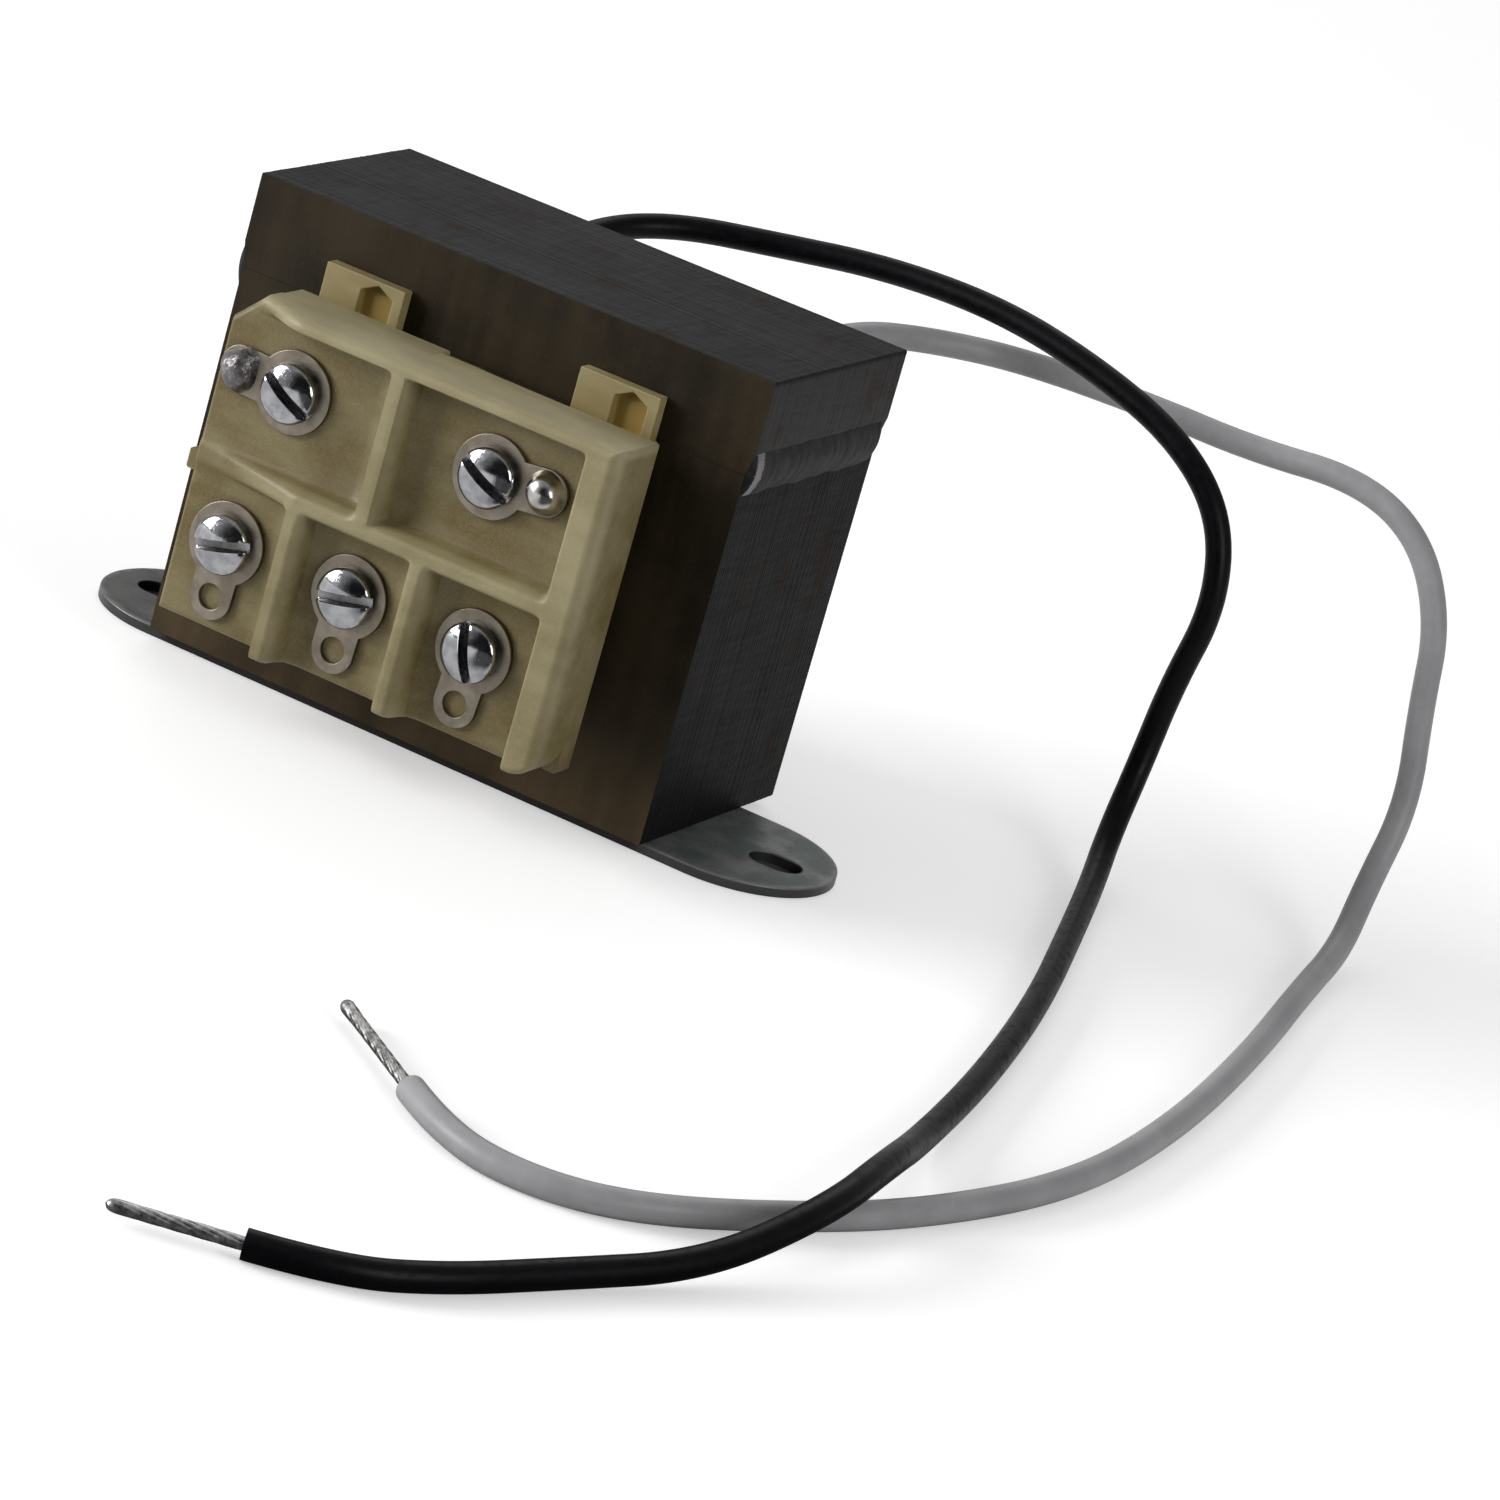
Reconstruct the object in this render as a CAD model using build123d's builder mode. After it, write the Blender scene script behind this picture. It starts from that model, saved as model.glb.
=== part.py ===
from build123d import *
import math
import os

os.makedirs("parts", exist_ok=True)

# Foot mount transformer, sizes in millimetres.
# The origin is on the underside of the foot strap, under the middle of the core's width:
# +X runs along the strap, +Y to the rear of the core and +Z up. The terminals face -Y.

# Core: a stack of E laminations with the legs up, closed by a stack of I laminations
core_front = -12.3
tongue_w = 22.2
outer_leg_w = 11.1
window_w = 11.1
window_h = 33.3
yoke_h = 11.1
i_bar_h = 11.1
stack_d = 33.0
i_proud = 0.6
i_bevel_h = 3.0

# Weld bead on each side of the core, along the joint of the two stacks
weld_below = 2.6
weld_margin = 0.3
weld_bulge = 0.9
weld_inset = 0.8

# Foot strap under the core: a flat plate with round ends and a slot in each foot. The core is
# welded on to the left of the strap's middle, with its front past the strap's front edge.
strap_t = 1.2
strap_w = 24.2
strap_edge_r = 0.2
strap_shift = 2.1
strap_back = 1.0
slot_reach = 8.7
slot_w = 4.8
slot_l = 6.4
foot_margin = 6.7

# Tack welds under the core, along the strap's rear edge
tack_l = 12.0
tack_leg = 1.4
tack_spacing = 40.0
tack_floor_gap = 0.3

# Coil former on the centre leg and the layers wound on it, from the inside out
former_clear = 0.25
former_wall = 1.0
former_corner_r = 0.8
flange_t = 1.4
flange_clear = 0.2
primary_t = 4.0
tape_t = 0.3
secondary_t = 3.6
wrap_t = 0.5
coil_clear = 0.35

# Ears of the former's top flange, each with an arched lead way beside its middle
ear_w = 10.4
ear_rise = 5.2
front_ear_d = 1.7
rear_ear_d = 5.0
arch_w = 4.2
arch_shift = 1.8
arch_roof = 0.5
arch_eaves = 3.6
front_arch_back = 0.5

# Terminal board: a shallow cap that clips over the front lip of the former's flanges
board_half_w = 25.9
board_rise = 2.0
board_drop = 3.5
barrier_rise = 19.0
floor_t = 3.2
barrier_h = 3.6
barrier_t = 2.2
rim_t = 1.4
right_wall_t = 4.6
skirt_t = 1.8
side_skirt_d = 2.7
left_top_skirt_d = 4.4
right_top_skirt_d = 2.5
board_clear = 0.15
lip_d = 1.7
hook_w = 1.2
hook_clear = 0.1
hook_side = 1.0
corner_cut = 3.6
foot_corner_r = 3.2
board_edge_r = 0.5
wall_edge_r = 1.6
barrier_end_h = 0.5
tab_w = 0.9
tab_h = 2.4
tab_t = 1.6
tab_drop = 1.1

# Terminal screws, their inserts and solder lugs. The shifts are from the middle of each bay, but
# the upper left terminal stands where its lug's eye clears the board's skirt. The turns are in
# degrees, for the upper row from left to right and then for the lower row.
top_screw_drop = 9.1
low_screw_rise = 10.4
low_screw_shift = -0.4
left_eye_margin = 1.25
upper_right_shift = 0.2
head_d = 7.0
head_h = 2.3
head_edge_h = 1.4
head_shoulder_r = 0.8
slot_cut_w = 1.1
slot_cut_d = 1.7
shank_d = 3.45
insert_d = 5.4
insert_back_gap = 0.2
lug_d = 9.6
lug_t = 0.6
lug_hole_d = 3.8
tail_w = 5.4
eye_d = 3.0
low_lug_reach = 6.5
top_lug_reach = 7.0
tail_turns = [178, 6, -92, -92, -94]
slot_turns = [-30, -26, 15, 12, -72]

# Solder joints on the two upper lugs, and the secondary leads that end in them
solder_d = 4.4
solder_h = 2.2
wire_d = 1.2
wire_hole_clear = 0.2
wire_turn_p = 3.0
wire_turn_r = 1.4
wire_run_in = 6.0
wire_cover = 0.8

# Primary leads: insulated wire with a stripped, tinned end
lead_d = 3.1
bare_d = 1.4
bare_tip_r = 0.3
black_bare_l = 13.2
white_bare_l = 20.0

# Each lead leaves its rear ear, arches back and down to the right, reaches the surface that
# the feet stand on, and lies there round the right side to the front. The black lead passes
# over the white one in a low hump.
black_route = [
    (-18.6, 21.4, 47.3), (-18.6, 32.0, 48.3), (-16.8, 42.5, 51.0), (-11.0, 50.0, 52.5),
    (-0.5, 54.5, 53.5), (14.0, 56.5, 55.5), (29.5, 56.0, 56.0), (43.5, 54.5, 54.0),
    (56.0, 53.0, 50.5), (64.5, 52.0, 44.0), (67.5, 51.0, 34.0), (65.5, 50.5, 23.0),
    (65.0, 49.5, 13.5), (66.0, 43.5, 5.5), (69.0, 34.5, 2.1), (74.0, 18.5, 1.55),
    (82.0, -7.5, 1.55), (88.5, -35.0, 1.55), (93.0, -60.0, 2.1), (97.0, -77.0, 5.7),
    (99.0, -94.0, 5.7), (95.0, -111.0, 2.1), (87.0, -126.0, 1.55), (81.5, -137.5, 1.55),
    (75.0, -146.0, 1.55), (66.5, -149.5, 1.55),
]
white_route = [
    (15.0, 21.4, 47.3), (15.0, 32.5, 47.9), (17.0, 44.0, 50.0), (23.0, 54.0, 50.0),
    (32.5, 61.0, 50.0), (48.0, 65.0, 49.5), (61.0, 66.0, 49.0), (75.0, 65.5, 50.5),
    (84.5, 64.5, 47.0), (90.0, 63.5, 38.5), (91.5, 62.5, 28.5), (94.0, 61.0, 17.5),
    (94.0, 55.5, 8.0), (96.0, 46.5, 2.6), (98.0, 31.5, 1.55), (103.0, 5.0, 1.55),
    (107.0, -25.0, 1.55), (107.5, -52.0, 1.55), (101.5, -75.5, 1.55), (93.0, -92.0, 1.55),
    (83.5, -105.0, 1.55), (74.0, -109.5, 1.55), (64.0, -108.0, 1.55), (56.0, -101.5, 1.55),
]
arc_share = 0.45

# Places worked out from the sizes above
core_w = tongue_w + 2 * window_w + 2 * outer_leg_w
core_rear = core_front + stack_d
core_mid = (core_front + core_rear) / 2
z_core = strap_t
z_window = z_core + yoke_h
z_joint = z_window + window_h
z_top = z_joint + i_bar_h
slot_spacing = core_w + 2 * slot_reach
strap_l = slot_spacing + 2 * foot_margin
strap_rear = strap_back + strap_w / 2

z_low_flange = z_window + flange_clear
z_coil_low = z_low_flange + flange_t
z_top_flange = z_joint - flange_clear - flange_t
z_ear_foot = z_top_flange + flange_t
coil_h = z_top_flange - z_coil_low
flange_half = tongue_w / 2 + window_w - flange_clear
coil_build = former_clear + former_wall + primary_t + tape_t + secondary_t + wrap_t
overhang = coil_build + coil_clear

board_x0 = -board_half_w
board_x1 = board_half_w
z_board_low = z_window - board_drop
z_board_top = z_joint + board_rise
p_back = overhang
p_floor = p_back + floor_t
p_front = p_floor + barrier_h
wall_in_x = board_x1 - right_wall_t
low_bay_w = (wall_in_x - board_x0 - 2 * barrier_t) / 3
top_bay_w = (wall_in_x - board_x0 - barrier_t) / 2
low_bay_x = [board_x0 + low_bay_w / 2 + i * (low_bay_w + barrier_t) for i in range(3)]
top_bay_x = [board_x0 + top_bay_w / 2 + i * (top_bay_w + barrier_t) for i in range(2)]
z_low_screw = z_board_low + low_screw_rise
z_top_screw = z_board_top - top_screw_drop
z_barrier = z_board_low + barrier_rise
board_mid_x = (board_x0 + wall_in_x) / 2
lip_half = board_half_w - skirt_t - board_clear

# Screws of the upper row, from left to right, and then of the lower row, with their lugs' tails
screw_places = [
    (board_x0 + skirt_t + left_eye_margin + top_lug_reach, z_top_screw),
    (top_bay_x[1] + upper_right_shift, z_top_screw),
    (low_bay_x[0] + low_screw_shift, z_low_screw),
    (low_bay_x[1] + low_screw_shift, z_low_screw),
    (low_bay_x[2] + low_screw_shift, z_low_screw),
]
place_names = ["upper_left", "upper_right", "lower_left", "lower_middle", "lower_right"]
tail_reaches = [top_lug_reach, top_lug_reach, low_lug_reach, low_lug_reach, low_lug_reach]
tail_ways = [(math.cos(math.radians(turn)), math.sin(math.radians(turn))) for turn in tail_turns]
eye_places = [
    (x + reach * way[0], z + reach * way[1])
    for (x, z), reach, way in zip(screw_places, tail_reaches, tail_ways)
]
soldered_eyes = eye_places[:2]
p_lug = p_floor + lug_t
shank_l = lug_t + floor_t - insert_back_gap


def front_plane(p):
    """Upright plane that faces the terminals' side, p in front of the core's front face."""
    return Plane.XZ.offset(p - core_front)


def rear_plane(p):
    """Upright plane that faces the rear, p behind the core's rear face, with +X to the right."""
    return Plane.XZ.offset(-core_rear - p)


def box_between(x0, x1, z0, z1):
    """Rectangle of the current sketch from one corner to the other."""
    with Locations(((x0 + x1) / 2, (z0 + z1) / 2)):
        Rectangle(x1 - x0, z1 - z0)


def save(piece, name):
    """Label a finished piece and write it to its own file."""
    piece.part.label = name
    export_step(piece.part, f"parts/{name}.step")


# E stack: yoke at the bottom and three legs, open at the top
with BuildPart() as e_lamination_stack:
    with BuildSketch(front_plane(0)):
        box_between(-core_w / 2, core_w / 2, z_core, z_joint)
        with Locations(
            (-(tongue_w + window_w) / 2, z_window + window_h / 2),
            ((tongue_w + window_w) / 2, z_window + window_h / 2),
        ):
            Rectangle(window_w, window_h, mode=Mode.SUBTRACT)
    extrude(amount=-stack_d)
save(e_lamination_stack, "e_lamination_stack")

# I stack: lies across the legs, a little wider than the E stack, with bevelled lower corners
i_half = core_w / 2 + i_proud
with BuildPart() as i_lamination_stack:
    with BuildSketch(front_plane(0)):
        Polygon(
            (-core_w / 2, z_joint),
            (core_w / 2, z_joint),
            (i_half, z_joint + i_bevel_h),
            (i_half, z_top),
            (-i_half, z_top),
            (-i_half, z_joint + i_bevel_h),
            align=None,
        )
    extrude(amount=-stack_d)
save(i_lamination_stack, "i_lamination_stack")

# Weld beads: each fills the groove under the I stack's bevel and bulges past the core's side
weld_above = i_bevel_h - weld_margin
for side, name in ((-1, "left_weld_bead"), (1, "right_weld_bead")):
    low = (side * core_w / 2, z_joint - weld_below)
    root = (side * core_w / 2, z_joint)
    high = (side * (core_w / 2 + i_proud * weld_above / i_bevel_h), z_joint + weld_above)
    crown = (side * (core_w / 2 + weld_bulge), z_joint + (weld_above - weld_below) / 2)
    with BuildPart() as weld_bead:
        with BuildSketch(front_plane(-weld_inset)):
            with BuildLine():
                Polyline(low, root, high)
                ThreePointArc(high, crown, low)
            make_face()
        extrude(amount=-(stack_d - 2 * weld_inset))
    save(weld_bead, name)

# Foot strap: stamped plate with full-radius ends
with BuildPart() as foot_strap:
    with BuildSketch():
        with Locations((strap_shift, strap_back)):
            SlotOverall(strap_l, strap_w)
            with GridLocations(slot_spacing, 0, 2, 1):
                SlotOverall(slot_l, slot_w, mode=Mode.SUBTRACT)
    extrude(amount=strap_t)
    fillet(foot_strap.edges().group_by(Axis.Z)[-1], radius=strap_edge_r)
save(foot_strap, "foot_strap")

# Tack welds: short fillets in the corner of the strap's rear edge and the core's underside
for side, name in ((-1, "left_tack_weld"), (1, "right_tack_weld")):
    with BuildPart() as tack_weld:
        with BuildSketch(Plane.YZ.offset(side * tack_spacing / 2 - tack_l / 2)):
            Polygon(
                (strap_rear, tack_floor_gap),
                (strap_rear, strap_t),
                (strap_rear + tack_leg, strap_t),
                align=None,
            )
        extrude(amount=tack_l)
    save(tack_weld, name)


def arch_outline(x):
    """Pointed arch of a lead way on the current sketch, from the flange up to under the ear's top."""
    Polygon(
        (x - arch_w / 2, z_ear_foot),
        (x + arch_w / 2, z_ear_foot),
        (x + arch_w / 2, z_ear_foot + arch_eaves),
        (x, z_ear_foot + ear_rise - arch_roof),
        (x - arch_w / 2, z_ear_foot + arch_eaves),
        align=None,
    )


# Coil former: square tube round the centre leg, a flange at each end, lips for the terminal
# board in front, and ears on the top flange. The rear ears' lead ways go right through.
ear_mid = flange_half - ear_w / 2
with BuildPart() as coil_former:
    with BuildSketch(Plane.XY.offset(z_low_flange)):
        with Locations((0, core_mid)):
            RectangleRounded(
                tongue_w + 2 * (former_clear + former_wall),
                stack_d + 2 * (former_clear + former_wall),
                former_corner_r,
            )
    extrude(amount=z_ear_foot - z_low_flange)
    for z in (z_low_flange, z_top_flange):
        with BuildSketch(Plane.XY.offset(z)):
            with Locations((0, core_mid)):
                Rectangle(2 * flange_half, stack_d + 2 * overhang)
            with Locations((0, core_front - overhang + lip_d / 2)):
                Rectangle(2 * lip_half, lip_d)
        extrude(amount=flange_t)
    for x in (-ear_mid, ear_mid):
        with BuildSketch(front_plane(flange_clear)):
            box_between(x - ear_w / 2, x + ear_w / 2, z_top_flange, z_ear_foot + ear_rise)
        extrude(amount=front_ear_d)
        with BuildSketch(front_plane(flange_clear + front_ear_d)):
            arch_outline(x + arch_shift)
        extrude(amount=front_arch_back - front_ear_d, mode=Mode.SUBTRACT)
        with BuildSketch(rear_plane(flange_clear)):
            box_between(x - ear_w / 2, x + ear_w / 2, z_top_flange, z_ear_foot + ear_rise)
        extrude(amount=-rear_ear_d)
        with BuildSketch(rear_plane(flange_clear)):
            arch_outline(x - arch_shift)
        extrude(amount=-rear_ear_d, mode=Mode.SUBTRACT)
    with BuildSketch(Plane.XY.offset(z_low_flange)):
        with Locations((0, core_mid)):
            Rectangle(tongue_w + 2 * former_clear, stack_d + 2 * former_clear)
    extrude(amount=z_ear_foot - z_low_flange, mode=Mode.SUBTRACT)
save(coil_former, "coil_former")


def layer_outline(build, mode=Mode.ADD):
    """Rounded rectangle round the centre leg at a given build over it, on the current sketch."""
    with Locations((0, core_mid)):
        RectangleRounded(
            tongue_w + 2 * build,
            stack_d + 2 * build,
            former_corner_r + build - former_clear - former_wall,
            mode=mode,
        )


# Windings, tape and wrap: each layer is a closed ring between the flanges
layer_in = former_clear + former_wall
for name, thickness in (
    ("primary_winding", primary_t),
    ("interwinding_tape", tape_t),
    ("secondary_winding", secondary_t),
    ("coil_wrap", wrap_t),
):
    with BuildPart() as coil_layer:
        with BuildSketch(Plane.XY.offset(z_coil_low)):
            layer_outline(layer_in + thickness)
            layer_outline(layer_in, mode=Mode.SUBTRACT)
        extrude(amount=coil_h)
    save(coil_layer, name)
    layer_in += thickness


def board_outline():
    """Front outline of the terminal board, with a cut upper left corner, on the current sketch."""
    Polygon(
        (board_x0, z_board_low),
        (board_x1, z_board_low),
        (board_x1, z_board_top),
        (board_x0 + corner_cut, z_board_top),
        (board_x0, z_board_top - corner_cut),
        align=None,
    )


# Terminal board: floor plate with five bays cut into its front, a thin top rim, a heavy right
# wall and skirts at the top and sides. The bays are open to the left and at the bottom.
with BuildPart() as terminal_board:
    with BuildSketch(front_plane(p_back)):
        board_outline()
    extrude(amount=floor_t + barrier_h)
    fillet(
        terminal_board.edges().filter_by(Axis.Y).group_by(Axis.X)[-1].sort_by(Axis.Z)[0],
        radius=foot_corner_r,
    )
    fillet(
        terminal_board.edges().filter_by(Axis.Z).group_by(Axis.X)[-1].sort_by(Axis.Y)[0],
        radius=wall_edge_r,
    )
    with BuildSketch(front_plane(p_front)):
        for i, x in enumerate(low_bay_x):
            left = board_x0 - barrier_t if i == 0 else x - low_bay_w / 2
            box_between(
                left, x + low_bay_w / 2, z_board_low - barrier_t, z_barrier - barrier_t / 2
            )
        for i, x in enumerate(top_bay_x):
            left = board_x0 - barrier_t if i == 0 else x - top_bay_w / 2
            box_between(left, x + top_bay_w / 2, z_barrier + barrier_t / 2, z_board_top - rim_t)
    extrude(amount=-barrier_h, mode=Mode.SUBTRACT)
    fillet(terminal_board.faces().sort_by(Axis.Y)[0].edges(), radius=board_edge_r)
    # The barrier between the two left bays slopes down almost to the floor at the board's left
    # edge, where a small tab stands out from the floor plate
    with BuildSketch(Plane.XY.offset(z_barrier - barrier_t / 2)):
        Polygon(
            (board_x0 + low_bay_w, core_front - p_front),
            (board_x0, core_front - p_front),
            (board_x0, core_front - p_floor - barrier_end_h),
            align=None,
        )
    extrude(amount=barrier_t, mode=Mode.SUBTRACT)
    z_tab = z_barrier - tab_drop
    with BuildSketch(front_plane(p_floor)):
        box_between(board_x0 - tab_w, board_x0, z_tab - tab_h / 2, z_tab + tab_h / 2)
    extrude(amount=-tab_t)
    with BuildSketch(front_plane(p_back)):
        box_between(board_x0, board_x0 + skirt_t, z_board_low, z_board_top - corner_cut)
        box_between(board_x1 - skirt_t, board_x1, z_board_low, z_board_top)
    extrude(amount=-side_skirt_d)
    with BuildSketch(front_plane(p_back)):
        box_between(
            board_x0 + corner_cut, board_mid_x, z_board_top - skirt_t, z_board_top
        )
    extrude(amount=-left_top_skirt_d)
    with BuildSketch(front_plane(p_back)):
        box_between(board_mid_x, board_x1, z_board_top - skirt_t, z_board_top)
    extrude(amount=-right_top_skirt_d)
    with BuildSketch(front_plane(p_back - lip_d - hook_clear)):
        for z in (z_low_flange, z_top_flange):
            z_hook = (z - hook_side, z + flange_t + hook_side)
            box_between(board_x0 + skirt_t, board_x0 + skirt_t + hook_w, *z_hook)
            box_between(board_x1 - skirt_t - hook_w, board_x1 - skirt_t, *z_hook)
    extrude(amount=-(side_skirt_d - lip_d - hook_clear))
    with BuildSketch(front_plane(p_floor)):
        with Locations(*screw_places):
            Circle(insert_d / 2)
        with Locations(*soldered_eyes):
            Circle(wire_d / 2 + wire_hole_clear)
    extrude(amount=-floor_t, mode=Mode.SUBTRACT)
save(terminal_board, "terminal_board")


def dome_radius(base_r, height):
    """Radius of the sphere whose cap has the given base radius and height."""
    return (base_r**2 + height**2) / (2 * height)


# Terminals, one to a bay
head_dome_r = dome_radius(head_d / 2, head_h - head_edge_h)
for place, (x, z), reach, way, slot_turn in zip(
    place_names, screw_places, tail_reaches, tail_ways, slot_turns
):
    # Brass insert moulded into the board's floor
    with BuildPart() as terminal_insert:
        with BuildSketch(front_plane(p_back + insert_back_gap)):
            with Locations((x, z)):
                Circle(insert_d / 2)
                Circle(shank_d / 2, mode=Mode.SUBTRACT)
        extrude(amount=floor_t - insert_back_gap)
    save(terminal_insert, f"terminal_insert_{place}")

    # Solder lug: stamped ring with an eyelet tail
    with BuildPart() as terminal_lug:
        lug_face = Plane((x, core_front - p_floor, z), x_dir=(way[0], 0, way[1]), z_dir=(0, -1, 0))
        with BuildSketch(lug_face):
            Circle(lug_d / 2)
            with Locations((reach / 2, 0)):
                SlotCenterToCenter(reach, tail_w)
            Circle(lug_hole_d / 2, mode=Mode.SUBTRACT)
            with Locations((reach, 0)):
                Circle(eye_d / 2, mode=Mode.SUBTRACT)
        extrude(amount=lug_t)
    save(terminal_lug, f"terminal_lug_{place}")

    # Screw: plain shank and a low domed head with a round shoulder and one slot
    head_seat = (x, core_front - p_lug, z)
    with BuildPart() as terminal_screw:
        with BuildSketch(Plane(head_seat)) as screw_half:
            with BuildLine():
                Polyline(
                    (0, -head_h),
                    (0, shank_l),
                    (shank_d / 2, shank_l),
                    (shank_d / 2, 0),
                    (head_d / 2, 0),
                    (head_d / 2, -head_edge_h),
                )
                RadiusArc((head_d / 2, -head_edge_h), (0, -head_h), head_dome_r)
            make_face()
            rim_corners = screw_half.vertices().group_by(Axis.X)[-1]
            fillet(rim_corners.sort_by(Axis.Y)[0], radius=head_shoulder_r)
        revolve(axis=Axis(head_seat, (0, 1, 0)))
        with BuildSketch(front_plane(p_lug + head_h)):
            with Locations((x, z)):
                Rectangle(head_d + slot_cut_w, slot_cut_w, rotation=slot_turn)
        extrude(amount=-slot_cut_d, mode=Mode.SUBTRACT)
    save(terminal_screw, f"terminal_screw_{place}")

# Secondary leads: from the coil's side through the board and the lug's eye into the solder
with BuildPart() as coil_envelope:
    with BuildSketch(Plane.XY.offset(z_coil_low)):
        layer_outline(coil_build)
    extrude(amount=coil_h)
p_wire_end = p_lug + solder_h - wire_cover
for place, (x, z) in zip(("left", "right"), soldered_eyes):
    towards_coil = -math.copysign(wire_run_in, x)
    with BuildPart() as secondary_lead:
        with BuildLine() as wire_path:
            FilletPolyline(
                (x, core_front - p_wire_end, z),
                (x, core_front - wire_turn_p, z),
                (x + towards_coil, core_front - wire_turn_p, z),
                radius=wire_turn_r,
            )
        with BuildSketch(Plane(wire_path.line @ 0, z_dir=wire_path.line % 0)):
            Circle(wire_d / 2)
        sweep()
        add(coil_envelope.part, mode=Mode.SUBTRACT)
    save(secondary_lead, f"secondary_lead_{place}")

    # Solder joint: a dome over the lug's eye, round the end of the lead
    solder_seat = (x, core_front - p_lug, z)
    with BuildPart() as solder_joint:
        with BuildSketch(Plane(solder_seat)):
            with BuildLine():
                Line((0, -solder_h), (0, 0))
                Line((0, 0), (solder_d / 2, 0))
                RadiusArc((solder_d / 2, 0), (0, -solder_h), dome_radius(solder_d / 2, solder_h))
            make_face()
        revolve(axis=Axis(solder_seat, (0, 1, 0)))
        with BuildSketch(front_plane(p_lug)):
            with Locations((x, z)):
                Circle(wire_d / 2)
        extrude(amount=p_wire_end - p_lug, mode=Mode.SUBTRACT)
    save(solder_joint, f"solder_joint_{place}")


def corner_radii(route):
    """Radius of each corner of a route: as large as the shorter of its two runs allows."""
    points = [Vector(*point) for point in route]
    radii = []
    for before, corner, after in zip(points, points[1:], points[2:]):
        run_in = corner - before
        run_out = after - corner
        half_turn = math.radians(run_in.get_angle(run_out)) / 2
        radii.append(arc_share * min(run_in.length, run_out.length) / math.tan(half_turn))
    return radii


# Primary leads: an insulated tube along each route, and its bare end in line with the last run
for colour, route, bare_l in (
    ("black", black_route, black_bare_l),
    ("white", white_route, white_bare_l),
):
    radii = corner_radii(route)
    with BuildPart() as lead:
        with BuildLine() as lead_path:
            FilletPolyline(*route, radius=radii)
        with BuildSketch(Plane(lead_path.line @ 0, z_dir=lead_path.line % 0)):
            Circle(lead_d / 2)
        sweep()
    save(lead, f"{colour}_lead")
    lead_l = lead_path.wire().length
    print(colour, "lead radii", [round(r, 1) for r in radii])
    print("length", lead_l, "volume", lead.part.volume, "expected", math.pi * lead_d**2 / 4 * lead_l)

    with BuildPart() as lead_end:
        with BuildSketch(Plane(lead_path.line @ 1, z_dir=lead_path.line % 1)):
            Circle(bare_d / 2)
        extrude(amount=bare_l)
        fillet(lead_end.faces().sort_by(Axis.X)[0].edges(), radius=bare_tip_r)
    save(lead_end, f"{colour}_lead_end")
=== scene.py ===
import math

import bmesh
import bpy
import numpy as np
from mathutils import Matrix, Vector


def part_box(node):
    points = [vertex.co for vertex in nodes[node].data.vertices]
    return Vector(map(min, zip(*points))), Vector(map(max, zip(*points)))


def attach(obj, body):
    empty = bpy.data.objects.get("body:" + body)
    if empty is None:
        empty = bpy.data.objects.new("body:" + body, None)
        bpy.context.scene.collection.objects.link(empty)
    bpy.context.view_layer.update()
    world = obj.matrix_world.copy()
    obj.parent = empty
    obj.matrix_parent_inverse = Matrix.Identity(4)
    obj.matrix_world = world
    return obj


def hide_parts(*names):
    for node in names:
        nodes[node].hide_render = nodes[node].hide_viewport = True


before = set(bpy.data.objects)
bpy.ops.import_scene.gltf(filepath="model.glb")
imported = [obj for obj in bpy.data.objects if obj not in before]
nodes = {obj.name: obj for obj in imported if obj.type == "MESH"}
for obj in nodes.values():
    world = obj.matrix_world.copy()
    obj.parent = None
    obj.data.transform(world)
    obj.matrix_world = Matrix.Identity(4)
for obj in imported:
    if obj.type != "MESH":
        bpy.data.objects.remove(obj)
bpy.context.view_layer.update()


# E and I lamination stacks: half-millimetre sheets of silicon steel, punched and stacked from
# front to rear, the E sheets with their legs up and the I sheets lying across them. The whole
# core is dipped in black-brown varnish, through which the sheets' edges show as fine lines.
MM = 0.001
merge_gap = 0.0005
crease = 35
tongue_half = 11.1
window_half, yoke_h = 2 * tongue_half, tongue_half
i_bevel_h = 3.0
sheet_count = 66
sheet_corner_r, sheet_corner_steps = 0.25, 4
sheet_edge_share = 0.2
sheet_slip = 0.012
groove_shallow, groove_deep = 0.006, 0.03
e_seed, i_seed = 11, 12


def node_box(name):
    """Lowest and highest corner of a CAD node, in millimetres."""
    return np.array([list(corner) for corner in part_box(name)]) / MM


def paint(red, green, blue):
    """Colour as a screen shows it, 0 to 255, turned into the linear colour that a shader takes."""
    screen = np.array([red, green, blue]) / 255
    linear = np.where(screen <= 0.04045, screen / 12.92, ((screen + 0.055) / 1.055) ** 2.4)
    return (*linear.tolist(), 1.0)


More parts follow.
